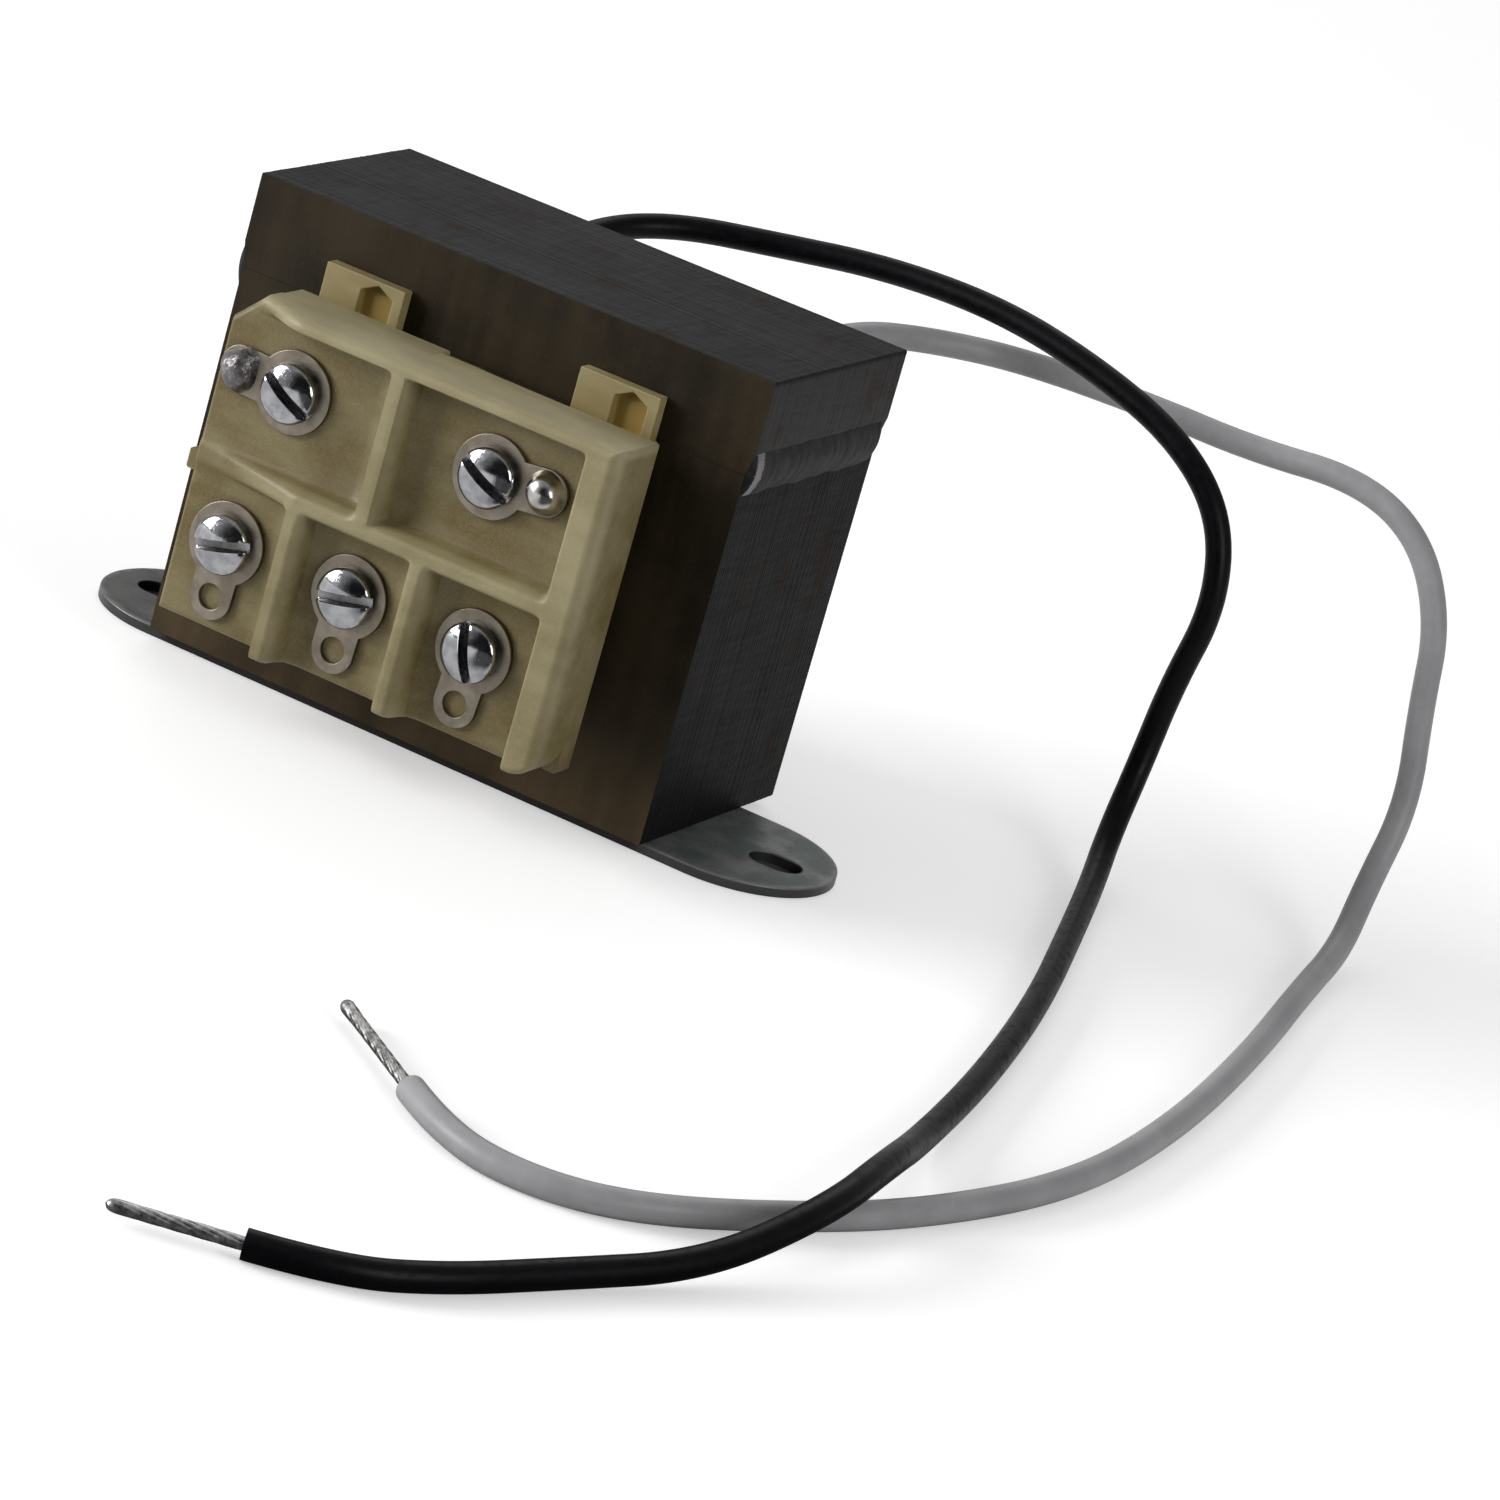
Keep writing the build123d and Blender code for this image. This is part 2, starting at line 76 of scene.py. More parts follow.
class Field:
    """An output of a node in a finish's tree. Arithmetic on it adds Math nodes to that tree."""

    def __init__(self, tree, socket=None):
        self.tree = tree
        self.socket = socket

    def node(self, kind, settings, inputs, output=0):
        """New node: its settings are set first, and then each input gets a value or a link."""
        made = self.tree.nodes.new(kind)
        for name, value in settings.items():
            setattr(made, name, value)
        for name, value in inputs.items():
            if isinstance(value, Field):
                self.tree.links.new(value.socket, made.inputs[name])
            else:
                made.inputs[name].default_value = value
        return Field(self.tree, made.outputs[output] if len(made.outputs) else None)

    def math(self, operation, *terms):
        """Math node on the given terms."""
        return self.node("ShaderNodeMath", {"operation": operation}, dict(enumerate(terms)))

    def __add__(self, other):
        return self.math("ADD", self, other)

    __radd__ = __add__

    def __sub__(self, other):
        return self.math("SUBTRACT", self, other)

    def __rsub__(self, other):
        return self.math("SUBTRACT", other, self)

    def __mul__(self, other):
        return self.math("MULTIPLY", self, other)

    __rmul__ = __mul__

    def __truediv__(self, other):
        return self.math("DIVIDE", self, other)

    def __abs__(self):
        return self.math("ABSOLUTE", self)


def new_finish(name):
    """Empty finish: its material, and the object coordinates of its surface in millimetres."""
    material = bpy.data.materials.new(name)
    material.use_nodes = True
    material.node_tree.nodes.clear()
    start = Field(material.node_tree)
    coords = start.node("ShaderNodeTexCoord", {}, {}, "Object")
    return material, start.node(
        "ShaderNodeVectorMath", {"operation": "SCALE"}, {0: coords, "Scale": 1 / MM}
    )


def close_finish(place, inputs):
    """Surface shader of a finish with the given inputs, joined to its output."""
    surface = place.node("ShaderNodeBsdfPrincipled", {}, inputs)
    place.node("ShaderNodeOutputMaterial", {}, {"Surface": surface})


def axis_of(place, axis):
    """One coordinate of a place."""
    return place.node("ShaderNodeSeparateXYZ", {}, {0: place}, axis)


def stretched(place, x, y, z):
    """Place with each coordinate multiplied, so that a pattern on it stretches the other way."""
    return place.node("ShaderNodeVectorMath", {"operation": "MULTIPLY"}, {0: place, 1: (x, y, z)})


def noise(place, per_mm, detail=4.0):
    """Cloudy noise from 0 to 1 with about so many blotches to a millimetre."""
    return place.node(
        "ShaderNodeTexNoise", {}, {"Vector": place, "Scale": per_mm, "Detail": detail}
    )


def ramp(value, low, high):
    """Smooth step from 0 at low to 1 at high."""
    limits = {0: value, 1: low, 2: high, 3: 0.0, 4: 1.0}
    return value.node("ShaderNodeMapRange", {"interpolation_type": "SMOOTHSTEP"}, limits)


def tint(share, first, second):
    """First colour where share is 0 and second colour where it is 1."""
    return share.node("ShaderNodeMix", {"data_type": "RGBA"}, {0: share, 6: first, 7: second}, 2)


def relief(height, depth):
    """Normal of a surface that stands up by depth millimetres where height is 1."""
    return height.node("ShaderNodeBump", {}, {"Height": height, "Distance": depth * MM})


def varnished_faces():
    """Brown varnish on the outer sheets' flat sides: clouds, runs, dust, paler brown at the foot.
    """
    finish, place = new_finish("varnished_faces")
    clouds = noise(place, 0.07)
    runs = noise(stretched(place, 1.0, 1.0, 0.12), 0.35)
    peel = noise(place, 1.4)
    dust = ramp(noise(place, 3.2, detail=2.0), 0.68, 0.76)
    shade = ramp(clouds * 0.7 + runs * 0.3, 0.34, 0.66)
    brown = tint(shade, paint(28, 23, 14), paint(51, 42, 28))
    # The faces turn paler brown towards their foot.
    paler_foot_brown = tint(shade, paint(52, 42, 27), paint(78, 65, 45))
    foot = 1 - ramp(axis_of(place, "Z") + (clouds - 0.5) * 6.0, 3.0, 14.0)
    close_finish(place, {
        "Base Color": tint(dust * 0.15, tint(foot, brown, paler_foot_brown), paint(110, 100, 88)),
        "Roughness": 0.4 + runs * 0.2 + dust * 0.2,
        "Specular IOR Level": 0.13,
        "Normal": relief(peel * 0.6 + runs * 0.4, 0.04),
    })
    return finish


def varnished_edges(front, sheet_t, bar_low, bar_top):
    """Greyer varnish on the sheets' edges: a tone for each sheet, clouds and rust freckles.

    It is thinner and paler on the sides of the I stack, between the two given heights. Below them
    it is darkest: painted shade on the E stack's sides.
    """
    finish, place = new_finish("varnished_edges")
    depth = (axis_of(place, "Y") - front) / sheet_t
    sheet = depth.math("FLOOR", depth)
    tone = place.node("ShaderNodeTexWhiteNoise", {"noise_dimensions": "1D"}, {"W": sheet})
    clouds = noise(place, 0.09)
    rust = ramp(noise(place, 0.22, detail=6.0), 0.56, 0.72)
    scuff = noise(stretched(place, 1.0, 0.1, 1.0), 2.0)
    shade = ramp(clouds, 0.35, 0.65) * 0.8 + tone * 0.2
    grey = tint(shade, paint(15, 14, 14), paint(30, 28, 28))
    z = axis_of(place, "Z")
    thin = ramp(z, bar_low, bar_low + 1.0) * (1 - ramp(z, bar_top - 0.8, bar_top - 0.2))
    # Painted shade: below the joint, the E stack's sides are darkened towards black.
    sides = tint(0.45 - ramp(z, bar_low - 1.0, bar_low) * 0.45, grey, paint(4, 4, 4))
    coat = tint(thin * 0.8, sides, paint(54, 52, 52))
    close_finish(place, {
        "Base Color": tint(rust * 0.3, coat, paint(70, 54, 44)),
        "Roughness": 0.45 + scuff * 0.2 + rust * 0.15,
        "Specular IOR Level": 0.12,
        "Normal": relief(scuff * 0.5 + noise(place, 4.0) * 0.5, 0.03),
    })
    return finish


def rounded_outline(corners, radius, steps):
    """Closed outline, anticlockwise, with its corners on arcs: points and outward normals.

    The arc of a corner starts radius * tan(half the turn) before it, and its normal swings evenly
    from square to the run in to square to the run out.
    """
    corners = np.asarray(corners, float)
    run_in = corners - np.roll(corners, 1, axis=0)
    run_in /= np.linalg.norm(run_in, axis=1, keepdims=True)
    run_out = np.roll(run_in, -1, axis=0)
    cross = run_in[:, 0] * run_out[:, 1] - run_in[:, 1] * run_out[:, 0]
    turn = np.arctan2(cross, (run_in * run_out).sum(axis=1))
    square = np.arctan2(run_in[:, 1], run_in[:, 0]) - np.pi / 2
    arc_r = radius * np.sign(turn)[:, None]
    start = corners - run_in * (radius * np.tan(np.abs(turn) / 2))[:, None]
    centre = start - arc_r * np.stack([np.cos(square), np.sin(square)], axis=1)
    swing = square[:, None] + turn[:, None] * np.linspace(0, 1, steps)
    normals = np.stack([np.cos(swing), np.sin(swing)], axis=-1)
    points = centre[:, None] + arc_r[:, None] * normals
    return points.reshape(-1, 2), normals.reshape(-1, 2)


def grid_faces(rows, columns, ring=True, rows_ring=False):
    """Corner numbers of the quads of a grid; a ring joins the last column or row to the first."""
    row, column = np.meshgrid(
        np.arange(rows if rows_ring else rows - 1),
        np.arange(columns if ring else columns - 1),
        indexing="ij",
    )
    here, below = row * columns, (row + 1) % rows * columns
    beside = (column + 1) % columns
    corners = [here + column, below + column, below + beside, here + beside]
    return np.stack(corners, axis=-1).reshape(-1, 4).tolist()


def tube_faces(rows, columns):
    """Faces of a grid of rings, and after them the caps of its first and last ring."""
    first = list(range(columns))
    last = [(rows - 1) * columns + number for number in first]
    return grid_faces(rows, columns) + [first, last[::-1]]


def seat_piece(piece, node):
    """Put a piece into the scene on the part's one body, in place of its CAD node."""
    bpy.context.scene.collection.objects.link(piece)
    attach(piece, "root")
    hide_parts(node)
    return piece


def shade_smooth(mesh, sharp):
    """Smooth shading, with edges that turn by more than sharp degrees kept crisp."""
    mesh.polygons.foreach_set("use_smooth", np.ones(len(mesh.polygons), bool))
    mesh.set_sharp_from_angle(angle=math.radians(sharp))


def add_piece(
    name, points, faces, finishes, slot, node, parts=None, marks=None, sharp=crease
):
    """Closed piece in place of a node, from points in millimetres and faces as corner numbers.

    Parts gives each face's place in finishes, and marks the values of named point attributes.
    Corners that coincide are merged, and the faces are turned outwards.
    """
    mesh = bpy.data.meshes.new(name)
    mesh.from_pydata((np.reshape(points, (-1, 3)) * MM).tolist(), [], faces)
    for finish in finishes:
        mesh.materials.append(finish)
    if parts is not None:
        mesh.polygons.foreach_set("material_index", parts)
    for mark, values in (marks or {}).items():
        attribute = mesh.attributes.new(mark, "FLOAT", "POINT")
        attribute.data.foreach_set("value", np.ravel(values).astype(np.float32))
    shell = bmesh.new()
    shell.from_mesh(mesh)
    bmesh.ops.remove_doubles(shell, verts=shell.verts, dist=merge_gap * MM)
    bmesh.ops.recalc_face_normals(shell, faces=shell.faces)
    shell.to_mesh(mesh)
    shell.free()
    shade_smooth(mesh, sharp)
    return seat_piece(bpy.data.objects.new(name, mesh), node)


def laminated_stack(node, corners, front, rear, seed, finishes):
    """Outline carried from front to rear, sheet by sheet.

    A sheet has four stations: its two faces, where the outline is drawn in by the depth of the
    groove beside it, and its full outline a little inside each face. Every sheet but the outer
    two is slipped a little in x and z.
    """
    outline, normals = rounded_outline(corners, sheet_corner_r, sheet_corner_steps)
    chance = np.random.default_rng(seed)
    slip = np.clip(chance.normal(0, sheet_slip, (sheet_count, 2)), -2 * sheet_slip, 2 * sheet_slip)
    slip[[0, -1]] = 0
    groove = chance.uniform(groove_shallow, groove_deep, sheet_count)
    share = np.array([0, sheet_edge_share, 1 - sheet_edge_share, 1])
    drawn_in = np.array([1, 0, 0, 1])
    y = front + (rear - front) * (np.arange(sheet_count)[:, None] + share) / sheet_count
    inset = groove[:, None] * drawn_in
    flat = outline - inset[..., None, None] * normals + slip[:, None, None, :]
    points = np.insert(flat, 1, np.broadcast_to(y[..., None], flat.shape[:-1]), axis=-1)
    faces = tube_faces(sheet_count * len(share), len(outline))
    parts = np.repeat([0, 1], [len(faces) - 2, 2])
    add_piece(node + "_sheets", points, faces, finishes, "core_varnish", node, parts)


def mirrored(right):
    """Outline from the corners of its right half, foot first, and their mirror images."""
    return right + [(-x, z) for x, z in reversed(right)]


e_low, e_high = node_box("e_lamination_stack")
i_high = node_box("i_lamination_stack")[1]
core_half, i_half = e_high[0], i_high[0]
core_front, core_rear = e_low[1], e_high[1]
z_core, z_joint, z_top = e_low[2], e_high[2], i_high[2]
z_window = z_core + yoke_h
core_finishes = [
    varnished_edges(core_front, (core_rear - core_front) / sheet_count, z_joint, z_top),
    varnished_faces(),
]
e_corners = mirrored([
    (core_half, z_core), (core_half, z_joint), (window_half, z_joint), (window_half, z_window),
    (tongue_half, z_window), (tongue_half, z_joint),
])
i_corners = mirrored([(core_half, z_joint), (i_half, z_joint + i_bevel_h), (i_half, z_top)])
laminated_stack("e_lamination_stack", e_corners, core_front, core_rear, e_seed, core_finishes)
laminated_stack("i_lamination_stack", i_corners, core_front, core_rear, i_seed, core_finishes)


# Weld beads: one run of weld along each side of the core holds the two stacks together, and two
# short tacks behind the strap hold it to the core. Ripples mark the pool's steps. Near their front
# ends, the side beads carry a streak of pale metal colour: a painted highlight.
ripple_pitch, ripple_bow, ripple_share = 2.3, 0.6, 0.1
ripple_drift, drift_waves, drift_lag = 0.35, (0.71, 0.29), 2.0
bead_wander, wander_waves, wander_lag = 0.15, (0.9, 0.37), 1.0
bead_rows, bead_columns, bead_crease = 121, 15, 60
bead_low_in, bead_high_out, bead_root_in = 0.05, 0.5, 0.3
bead_bulge, bead_set_back, bead_end_l = 0.66, 0.1, 0.7
# A painted highlight near the side beads' front ends: its place and half length.
glint_at, glint_half = 1.4, 1.7
tack_bulge, tack_root_in = 0.12, 0.2


def weld_finish():
    """Varnish over weld metal, scorched in patches, with a painted highlight of pale metal where
    the glint is marked.
    """
    finish, place = new_finish("weld_metal")
    painted_glint = place.node("ShaderNodeAttribute", {"attribute_name": "painted_glint"}, {}, "Fac")
    scorch = ramp(noise(place, 0.5), 0.4, 0.65)
    grain = noise(place, 3.0)
    # Painted highlight: pale, part-metallic weld metal where the glint is marked.
    glint_share = ramp(painted_glint + grain * 0.5, 0.7, 0.85)
    varnish = tint(scorch, paint(25, 23, 24), paint(41, 39, 40))
    close_finish(place, {
        "Base Color": tint(glint_share, varnish, paint(128, 122, 126)),
        "Metallic": glint_share * 0.6,
        "Roughness": 0.5 - glint_share * 0.12 + grain * 0.1,
        "Specular IOR Level": 0.15,
        "Normal": relief(grain, 0.06),
    })
    return finish


def weld_bead(node, low, high, root, bulge, start, end, place, finish, front_glint):
    """Weld section carried along a straight joint.

    Across it, the section goes from low to high on a parabola that stands out by bulge, and back
    by way of root. Along it, the bulge dips at each ripple, whose line bows with the square of
    the distance from the middle and whose pitch drifts on two slow waves, and it falls off on a
    quarter ellipse at both ends.
    """
    along = np.linspace(start, end, bead_rows)[:, None]
    across = np.linspace(0, 1, bead_columns)
    drift = np.sin(along * drift_waves[0]) + np.sin(along * drift_waves[1] + drift_lag)
    bow = ripple_bow * (2 * across - 1) ** 2
    phase = (along - start) / ripple_pitch + ripple_drift * drift + bow
    ripple = 1 - ripple_share * (1 - np.abs(np.sin(np.pi * phase))) ** 2
    to_end = np.minimum(along - start, end - along)
    taper = np.sqrt(1 - np.clip(1 - to_end / bead_end_l, 0, 1) ** 2)
    wander = np.sin(along * wander_waves[0]) * np.sin(along * wander_waves[1] + wander_lag)
    out = bulge * ripple * taper * 4 * across * (1 - across)
    u = low[0] + (high[0] - low[0]) * across + out
    w = low[1] + (high[1] - low[1]) * across + bead_wander * wander * (2 * across - 1)
    u = np.insert(u, bead_columns, root[0], axis=1)
    w = np.insert(w, bead_columns, root[1], axis=1)
    points = place(np.broadcast_to(along, u.shape), u, w)
    glint_streak = np.clip(1 - np.abs(along - start - glint_at) / glint_half, 0, 1) * front_glint
    add_piece(
        node + "_run", points, tube_faces(*u.shape), [finish], "weld_metal", node,
        marks={"painted_glint": np.broadcast_to(glint_streak, u.shape)}, sharp=bead_crease,
    )


weld_metal = weld_finish()
for side, node in ((-1, "left_weld_bead"), (1, "right_weld_bead")):
    bead_low, bead_high = node_box(node)
    weld_bead(
        node, low=(core_half - bead_low_in, bead_low[2]),
        high=(core_half + bead_high_out, bead_high[2]),
        root=(core_half - bead_root_in, z_joint),
        bulge=bead_bulge, start=core_front + bead_set_back, end=bead_high[1],
        place=lambda along, u, w, side=side: np.stack([side * u, along, w], axis=-1),
        finish=weld_metal, front_glint=1.0,
    )
for node in ("left_tack_weld", "right_tack_weld"):
    tack_low, tack_high = node_box(node)
    weld_bead(
        node, low=tack_low[1:], high=tack_high[1:],
        root=(tack_low[1] - tack_root_in, tack_high[2] + tack_root_in),
        bulge=tack_bulge, start=tack_low[0], end=tack_high[0],
        place=lambda along, u, w: np.stack([along, u, w], axis=-1),
        finish=weld_metal, front_glint=0.0,
    )


# Foot strap: a flat strip of dull grey steel, sheared and punched, with round ends and a slot in
# each foot. It is tacked to the core's underside. Its mill scale is mottled and faintly green, and
# a little rubbed along the outline. Painted shade darkens its side faces and its left foot, and
# varnish covers its middle.
rub_w, rub_spread = 0.9, 1.6
# Painted shade, darkest at the left foot, evens out the key lamp's light from the left.
painted_light_from, painted_light_to = -40.0, 52.0
# Painted shade on the side faces below the strap's top.
edge_shade_below, edge_shade_fade = 0.3, 0.25


def strap_finish():
    """Mottled mill scale, brighter along the strap's outline, with painted shade on its side faces
    and towards its left foot.
    """
    strap_low, strap_high = node_box("foot_strap")
    middle, half = (strap_low + strap_high) / 2, (strap_high - strap_low) / 2
    radius = float(half[1])
    run_half = half[0] - radius
    finish, place = new_finish("strap_steel")
    x, y, z = (axis_of(place, axis) for axis in "XYZ")
    along, across = abs(x - middle[0]) - run_half, y - middle[1]
    past_run = along.math("MAXIMUM", along, 0.0)
    reach = past_run * past_run + across * across
    from_edge = radius - reach.math("SQRT", reach)
    mottle = ramp(noise(place, 0.16, detail=6.0), 0.38, 0.64)
    scale_marks = noise(stretched(place, 0.25, 1.0, 1.0), 1.2)
    freckles = ramp(noise(place, 1.6), 0.55, 0.7)
    rubbed = ramp(rub_w - from_edge + (scale_marks - 0.5) * rub_spread, 0.0, rub_w)
    # Painted shade towards the left foot.
    painted_light_rightward = ramp(x, painted_light_from, painted_light_to)
    dull = tint(painted_light_rightward, paint(50, 53, 52), paint(92, 102, 99))
    scale = tint(mottle, dull, tint(painted_light_rightward, paint(74, 74, 72), paint(136, 137, 134)))
    specked = tint(freckles * 0.3, scale, paint(66, 68, 64))
    rubbed_scale = tint(rubbed * 0.5, specked, paint(140, 140, 138))
    out = abs(x) + (scale_marks - 0.5) * 3.0
    varnish = 1 - ramp(out, core_half - 2.0, core_half)
    edge_z = strap_high[2] - edge_shade_below
    # Painted shade on the side faces.
    edge_shade = 1 - ramp(z, edge_z, edge_z + edge_shade_fade)
    steel = tint(edge_shade * 0.85, rubbed_scale, paint(30, 31, 31))
    close_finish(place, {
        "Base Color": tint(varnish, steel, paint(26, 23, 18)),
        "Metallic": 0.4,
        "Roughness": 0.5 - mottle * 0.08 - rubbed * 0.1 + freckles * 0.08,
        "Normal": relief(scale_marks * 0.6 + noise(place, 3.5) * 0.4, 0.03),
    })
    return finish


def dress_node(node, finish):
    """Give a CAD node that stays in view its finish."""
    nodes[node].data.materials.clear()
    nodes[node].data.materials.append(finish)


dress_node("foot_strap", strap_finish())


# Coil former: a moulded nylon bobbin on the centre leg, with a flange at each end of the windows.
# Two notched ears stand up in front of the core, and two behind it hold the leads' ways.
former_edge_r, bevel_steps, bevel_from = 0.16, 2, 40
arch_mid, arch_shift, arch_w = 16.8, 1.8, 4.2
arch_back, arch_rise = 0.5, 4.5


def moulded_finish(name, deep, pale, painted_light):
    """Moulded plastic between a shaded and a lit colour, by its share of painted light at each
    place and by flow clouds.
    """
    finish, place = new_finish(name)
    clouds = noise(place, 0.13)
    flow = noise(stretched(place, 0.2, 1.0, 1.0), 0.5)
    speckle = noise(place, 5.0, detail=2.0)
    # Painted light and painted shade, mixed with flow clouds.
    shade = painted_light(place) * 0.65 + ramp(clouds * 0.6 + flow * 0.4, 0.36, 0.64) * 0.35
    body = tint(shade, deep, pale)
    return finish, place, body, flow, speckle


def former_finish():
    """Yellow-tan nylon: painted light up high, painted shade lower down, and painted amber light in
    the front ears' recesses.
    """
    finish, place, body, flow, speckle = moulded_finish(
        "former_plastic", paint(122, 103, 58), paint(150, 138, 98),
        # Painted light up high, painted shade lower down near the core.
        lambda place: ramp(axis_of(place, "Z"), z_joint - 2.0, z_joint + 4.0),
    )
    x, y, z = (axis_of(place, axis) for axis in "XYZ")
    beside = abs(abs(x - arch_shift) - arch_mid) - arch_w / 2
    proud = abs(y - core_front + arch_back)
    over = z - z_joint - arch_rise
    arch = (1 - ramp(beside, -0.1, 0.2)) * (1 - ramp(over, 0.0, 0.2))
    # Painted amber light in the front ears' recesses, as through the nylon.
    recess_light = arch * (1 - ramp(proud, 0.4, 1.1))
    close_finish(place, {
        "Base Color": tint(recess_light * 0.85, body, paint(152, 126, 60)),
        "Roughness": 0.42 + flow * 0.12,
        "Normal": relief(speckle * 0.4 + flow * 0.6, 0.03),
    })
    return finish


def softened_copy(node, name, edge_r, finish):
    """Copy of a CAD node with its sharp edges rounded by edge_r."""
    shell = bmesh.new()
    shell.from_mesh(nodes[node].data)
    bmesh.ops.remove_doubles(shell, verts=shell.verts, dist=merge_gap * MM)
    mesh = bpy.data.meshes.new(name)
    shell.to_mesh(mesh)
    shell.free()
    mesh.materials.append(finish)
    shade_smooth(mesh, crease)
    piece = bpy.data.objects.new(name, mesh)
    bevel = piece.modifiers.new("rounded edges", "BEVEL")
    bevel.width = edge_r * MM
    bevel.segments = bevel_steps
    bevel.limit_method = "ANGLE"
    bevel.angle_limit = math.radians(bevel_from)
    bevel.use_clamp_overlap = False
    bevel.harden_normals = True
    seat_piece(piece, node)


softened_copy(
    "coil_former", "coil_former_moulding", former_edge_r, former_finish()
)


# Windings: enamelled copper wire in level layers, the primary inside and the secondary outside,
# with tape between them. A wrap of dark tape closes the coil and shows at the rear.
wire_pitch = 0.55
wrap_corner_r, wrap_corner_steps = 9.2, 12
wrap_t, wrap_belly, wrap_rows = 0.5, 0.1, 61
tape_step, tape_edges, lap_share = 0.1, (0.36, 0.72), 0.01


def winding_finish():
    """Turns of enamelled wire: a ridge for each turn, with the enamel's tone changing by turn."""
    finish, place = new_finish("winding_copper")
    turn = axis_of(place, "Z") / wire_pitch
    ridge = abs(turn.math("SINE", turn * math.pi))
    turn_number = turn.math("FLOOR", turn)
    tone = place.node("ShaderNodeTexWhiteNoise", {"noise_dimensions": "1D"}, {"W": turn_number})
    copper = tint(tone * 0.7 + noise(place, 0.4) * 0.3, paint(122, 58, 28), paint(176, 98, 52))
    close_finish(place, {
        "Base Color": copper,
        "Metallic": 0.8,
        "Roughness": 0.28 + (1 - ridge) * 0.2,
        "Normal": relief(ridge, 0.2),
    })
    return finish


def paper_finish(name, dark, light):
    """Insulating paper or tape: fibres across it and a faint crepe."""
    finish, place = new_finish(name)
    fibre = noise(stretched(place, 0.2, 0.2, 1.0), 2.5)
    crepe = noise(stretched(place, 1.0, 1.0, 0.15), 1.8)
    close_finish(place, {
        "Base Color": tint(ramp(fibre * 0.5 + crepe * 0.5, 0.35, 0.65), dark, light),
        "Roughness": 0.5 + fibre * 0.2,
        "Normal": relief(fibre * 0.4 + crepe * 0.6, 0.06),
    })
    return finish


copper = winding_finish()
dress_node("primary_winding", copper)
dress_node("secondary_winding", copper)
dress_node(
    "interwinding_tape",
    paper_finish("insulation_paper", paint(150, 122, 74), paint(186, 160, 108)),
)

wrap_low, wrap_high = node_box("coil_wrap")
wrap_outline, wrap_normals = rounded_outline(
    [wrap_low[:2], (wrap_high[0], wrap_low[1]), wrap_high[:2], (wrap_low[0], wrap_high[1])],
    wrap_corner_r, wrap_corner_steps,
)
up = np.linspace(0, 1, wrap_rows)
laps = sum(np.clip((up - edge) / lap_share, 0, 1) for edge in tape_edges)
outer = tape_step * (laps - len(tape_edges)) + wrap_belly * (1 - (2 * up - 1) ** 2)
outer[[0, -1]] -= tape_step
stand_out = np.concatenate([outer, [-wrap_t, -wrap_t]])
levels = wrap_low[2] + (wrap_high[2] - wrap_low[2]) * np.concatenate([up, [1, 0]])
wrap_points = np.concatenate([
    wrap_outline + stand_out[:, None, None] * wrap_normals,
    np.broadcast_to(levels[:, None, None], (len(levels), len(wrap_outline), 1)),
], axis=-1)
add_piece(
    "coil_wrap_tape", wrap_points,
    grid_faces(len(levels), len(wrap_outline), rows_ring=True),
    [paper_finish("wrap_tape", paint(24, 21, 19), paint(44, 39, 35))], "wrap_tape", "coil_wrap",
)


# Terminal board: a tan moulding clipped over the front of the former, with barriers between its
# five bays and skirts round its back. Brass inserts for the screws are moulded into its floor.
floor_t, barrier_h = 3.2, 3.6
crest_half, flank_w = 0.8, 0.9
foot_share, foot_w = 0.16, 2.8
wall_t, wall_foot, wall_crest = 4.6, 0.5, 0.9
rim_t, rim_slope, rim_from, rim_full = 1.4, 0.9, 2.5, 11.0
corner_cut, foot_corner_r = 3.6, 3.2
low_barrier_xs, top_barrier_x, barrier_z = (-10.53, 5.93), -2.3, 27.8
barrier_blend, left_end_share, left_end_power = 1.0, 0.08, 1.5
edge_rounds = {"left": 0.5, "right": 1.3, "low": 0.8, "top": 1.1}
plate_columns, plate_rows, board_crease = 210, 160, 50
tab_w, tab_h, tab_t, tab_drop = 0.9, 2.4, 1.6, 1.1
skirt_t, skirt_step, skirt_lap, skirt_end_in = 1.8, 0.03, 0.6, 0.5
skirt_round, round_steps, round_share = 0.3, 5, 0.98
skirt_depths = {"side": 2.7, "left_top": 4.4, "right_top": 2.5}
stain_r = 4.2
board_low, board_high = node_box("terminal_board")
places = ("upper_left", "upper_right", "lower_left", "lower_middle", "lower_right")


def metal_finish(name, dull, bright, smooth, rough, grain, depth, marks_per_mm=1.2):
    """Metal whose tone and roughness drift between two values, with a fine grain."""
    finish, place = new_finish(name)
    drift = ramp(noise(place, marks_per_mm), 0.35, 0.65)
    fine = noise(place, grain, detail=3.0)
    close_finish(place, {
        "Base Color": tint(drift * 0.7 + fine * 0.3, dull, bright),
        "Metallic": 1.0,
        "Roughness": smooth + drift * (rough - smooth) * 0.6 + fine * (rough - smooth) * 0.4,
        "Normal": relief(fine, depth),
    })
    return finish


def board_painted_light(place):
    """Share of painted light: 1 on the board's top and upper barriers' fronts, less on the lower, 0
    in the painted shade of the bays.
    """
    behind, z = axis_of(place, "Y") - board_low[1], axis_of(place, "Z")
    raised = ramp(z, board_low[2], board_high[2] - 6.0)
    front = (1 - ramp(behind, 0.8, 3.2)) * (0.55 + raised * 0.45)
    top = ramp(z - board_high[2], -1.6, -0.6)
    return front.math("MAXIMUM", front, top)


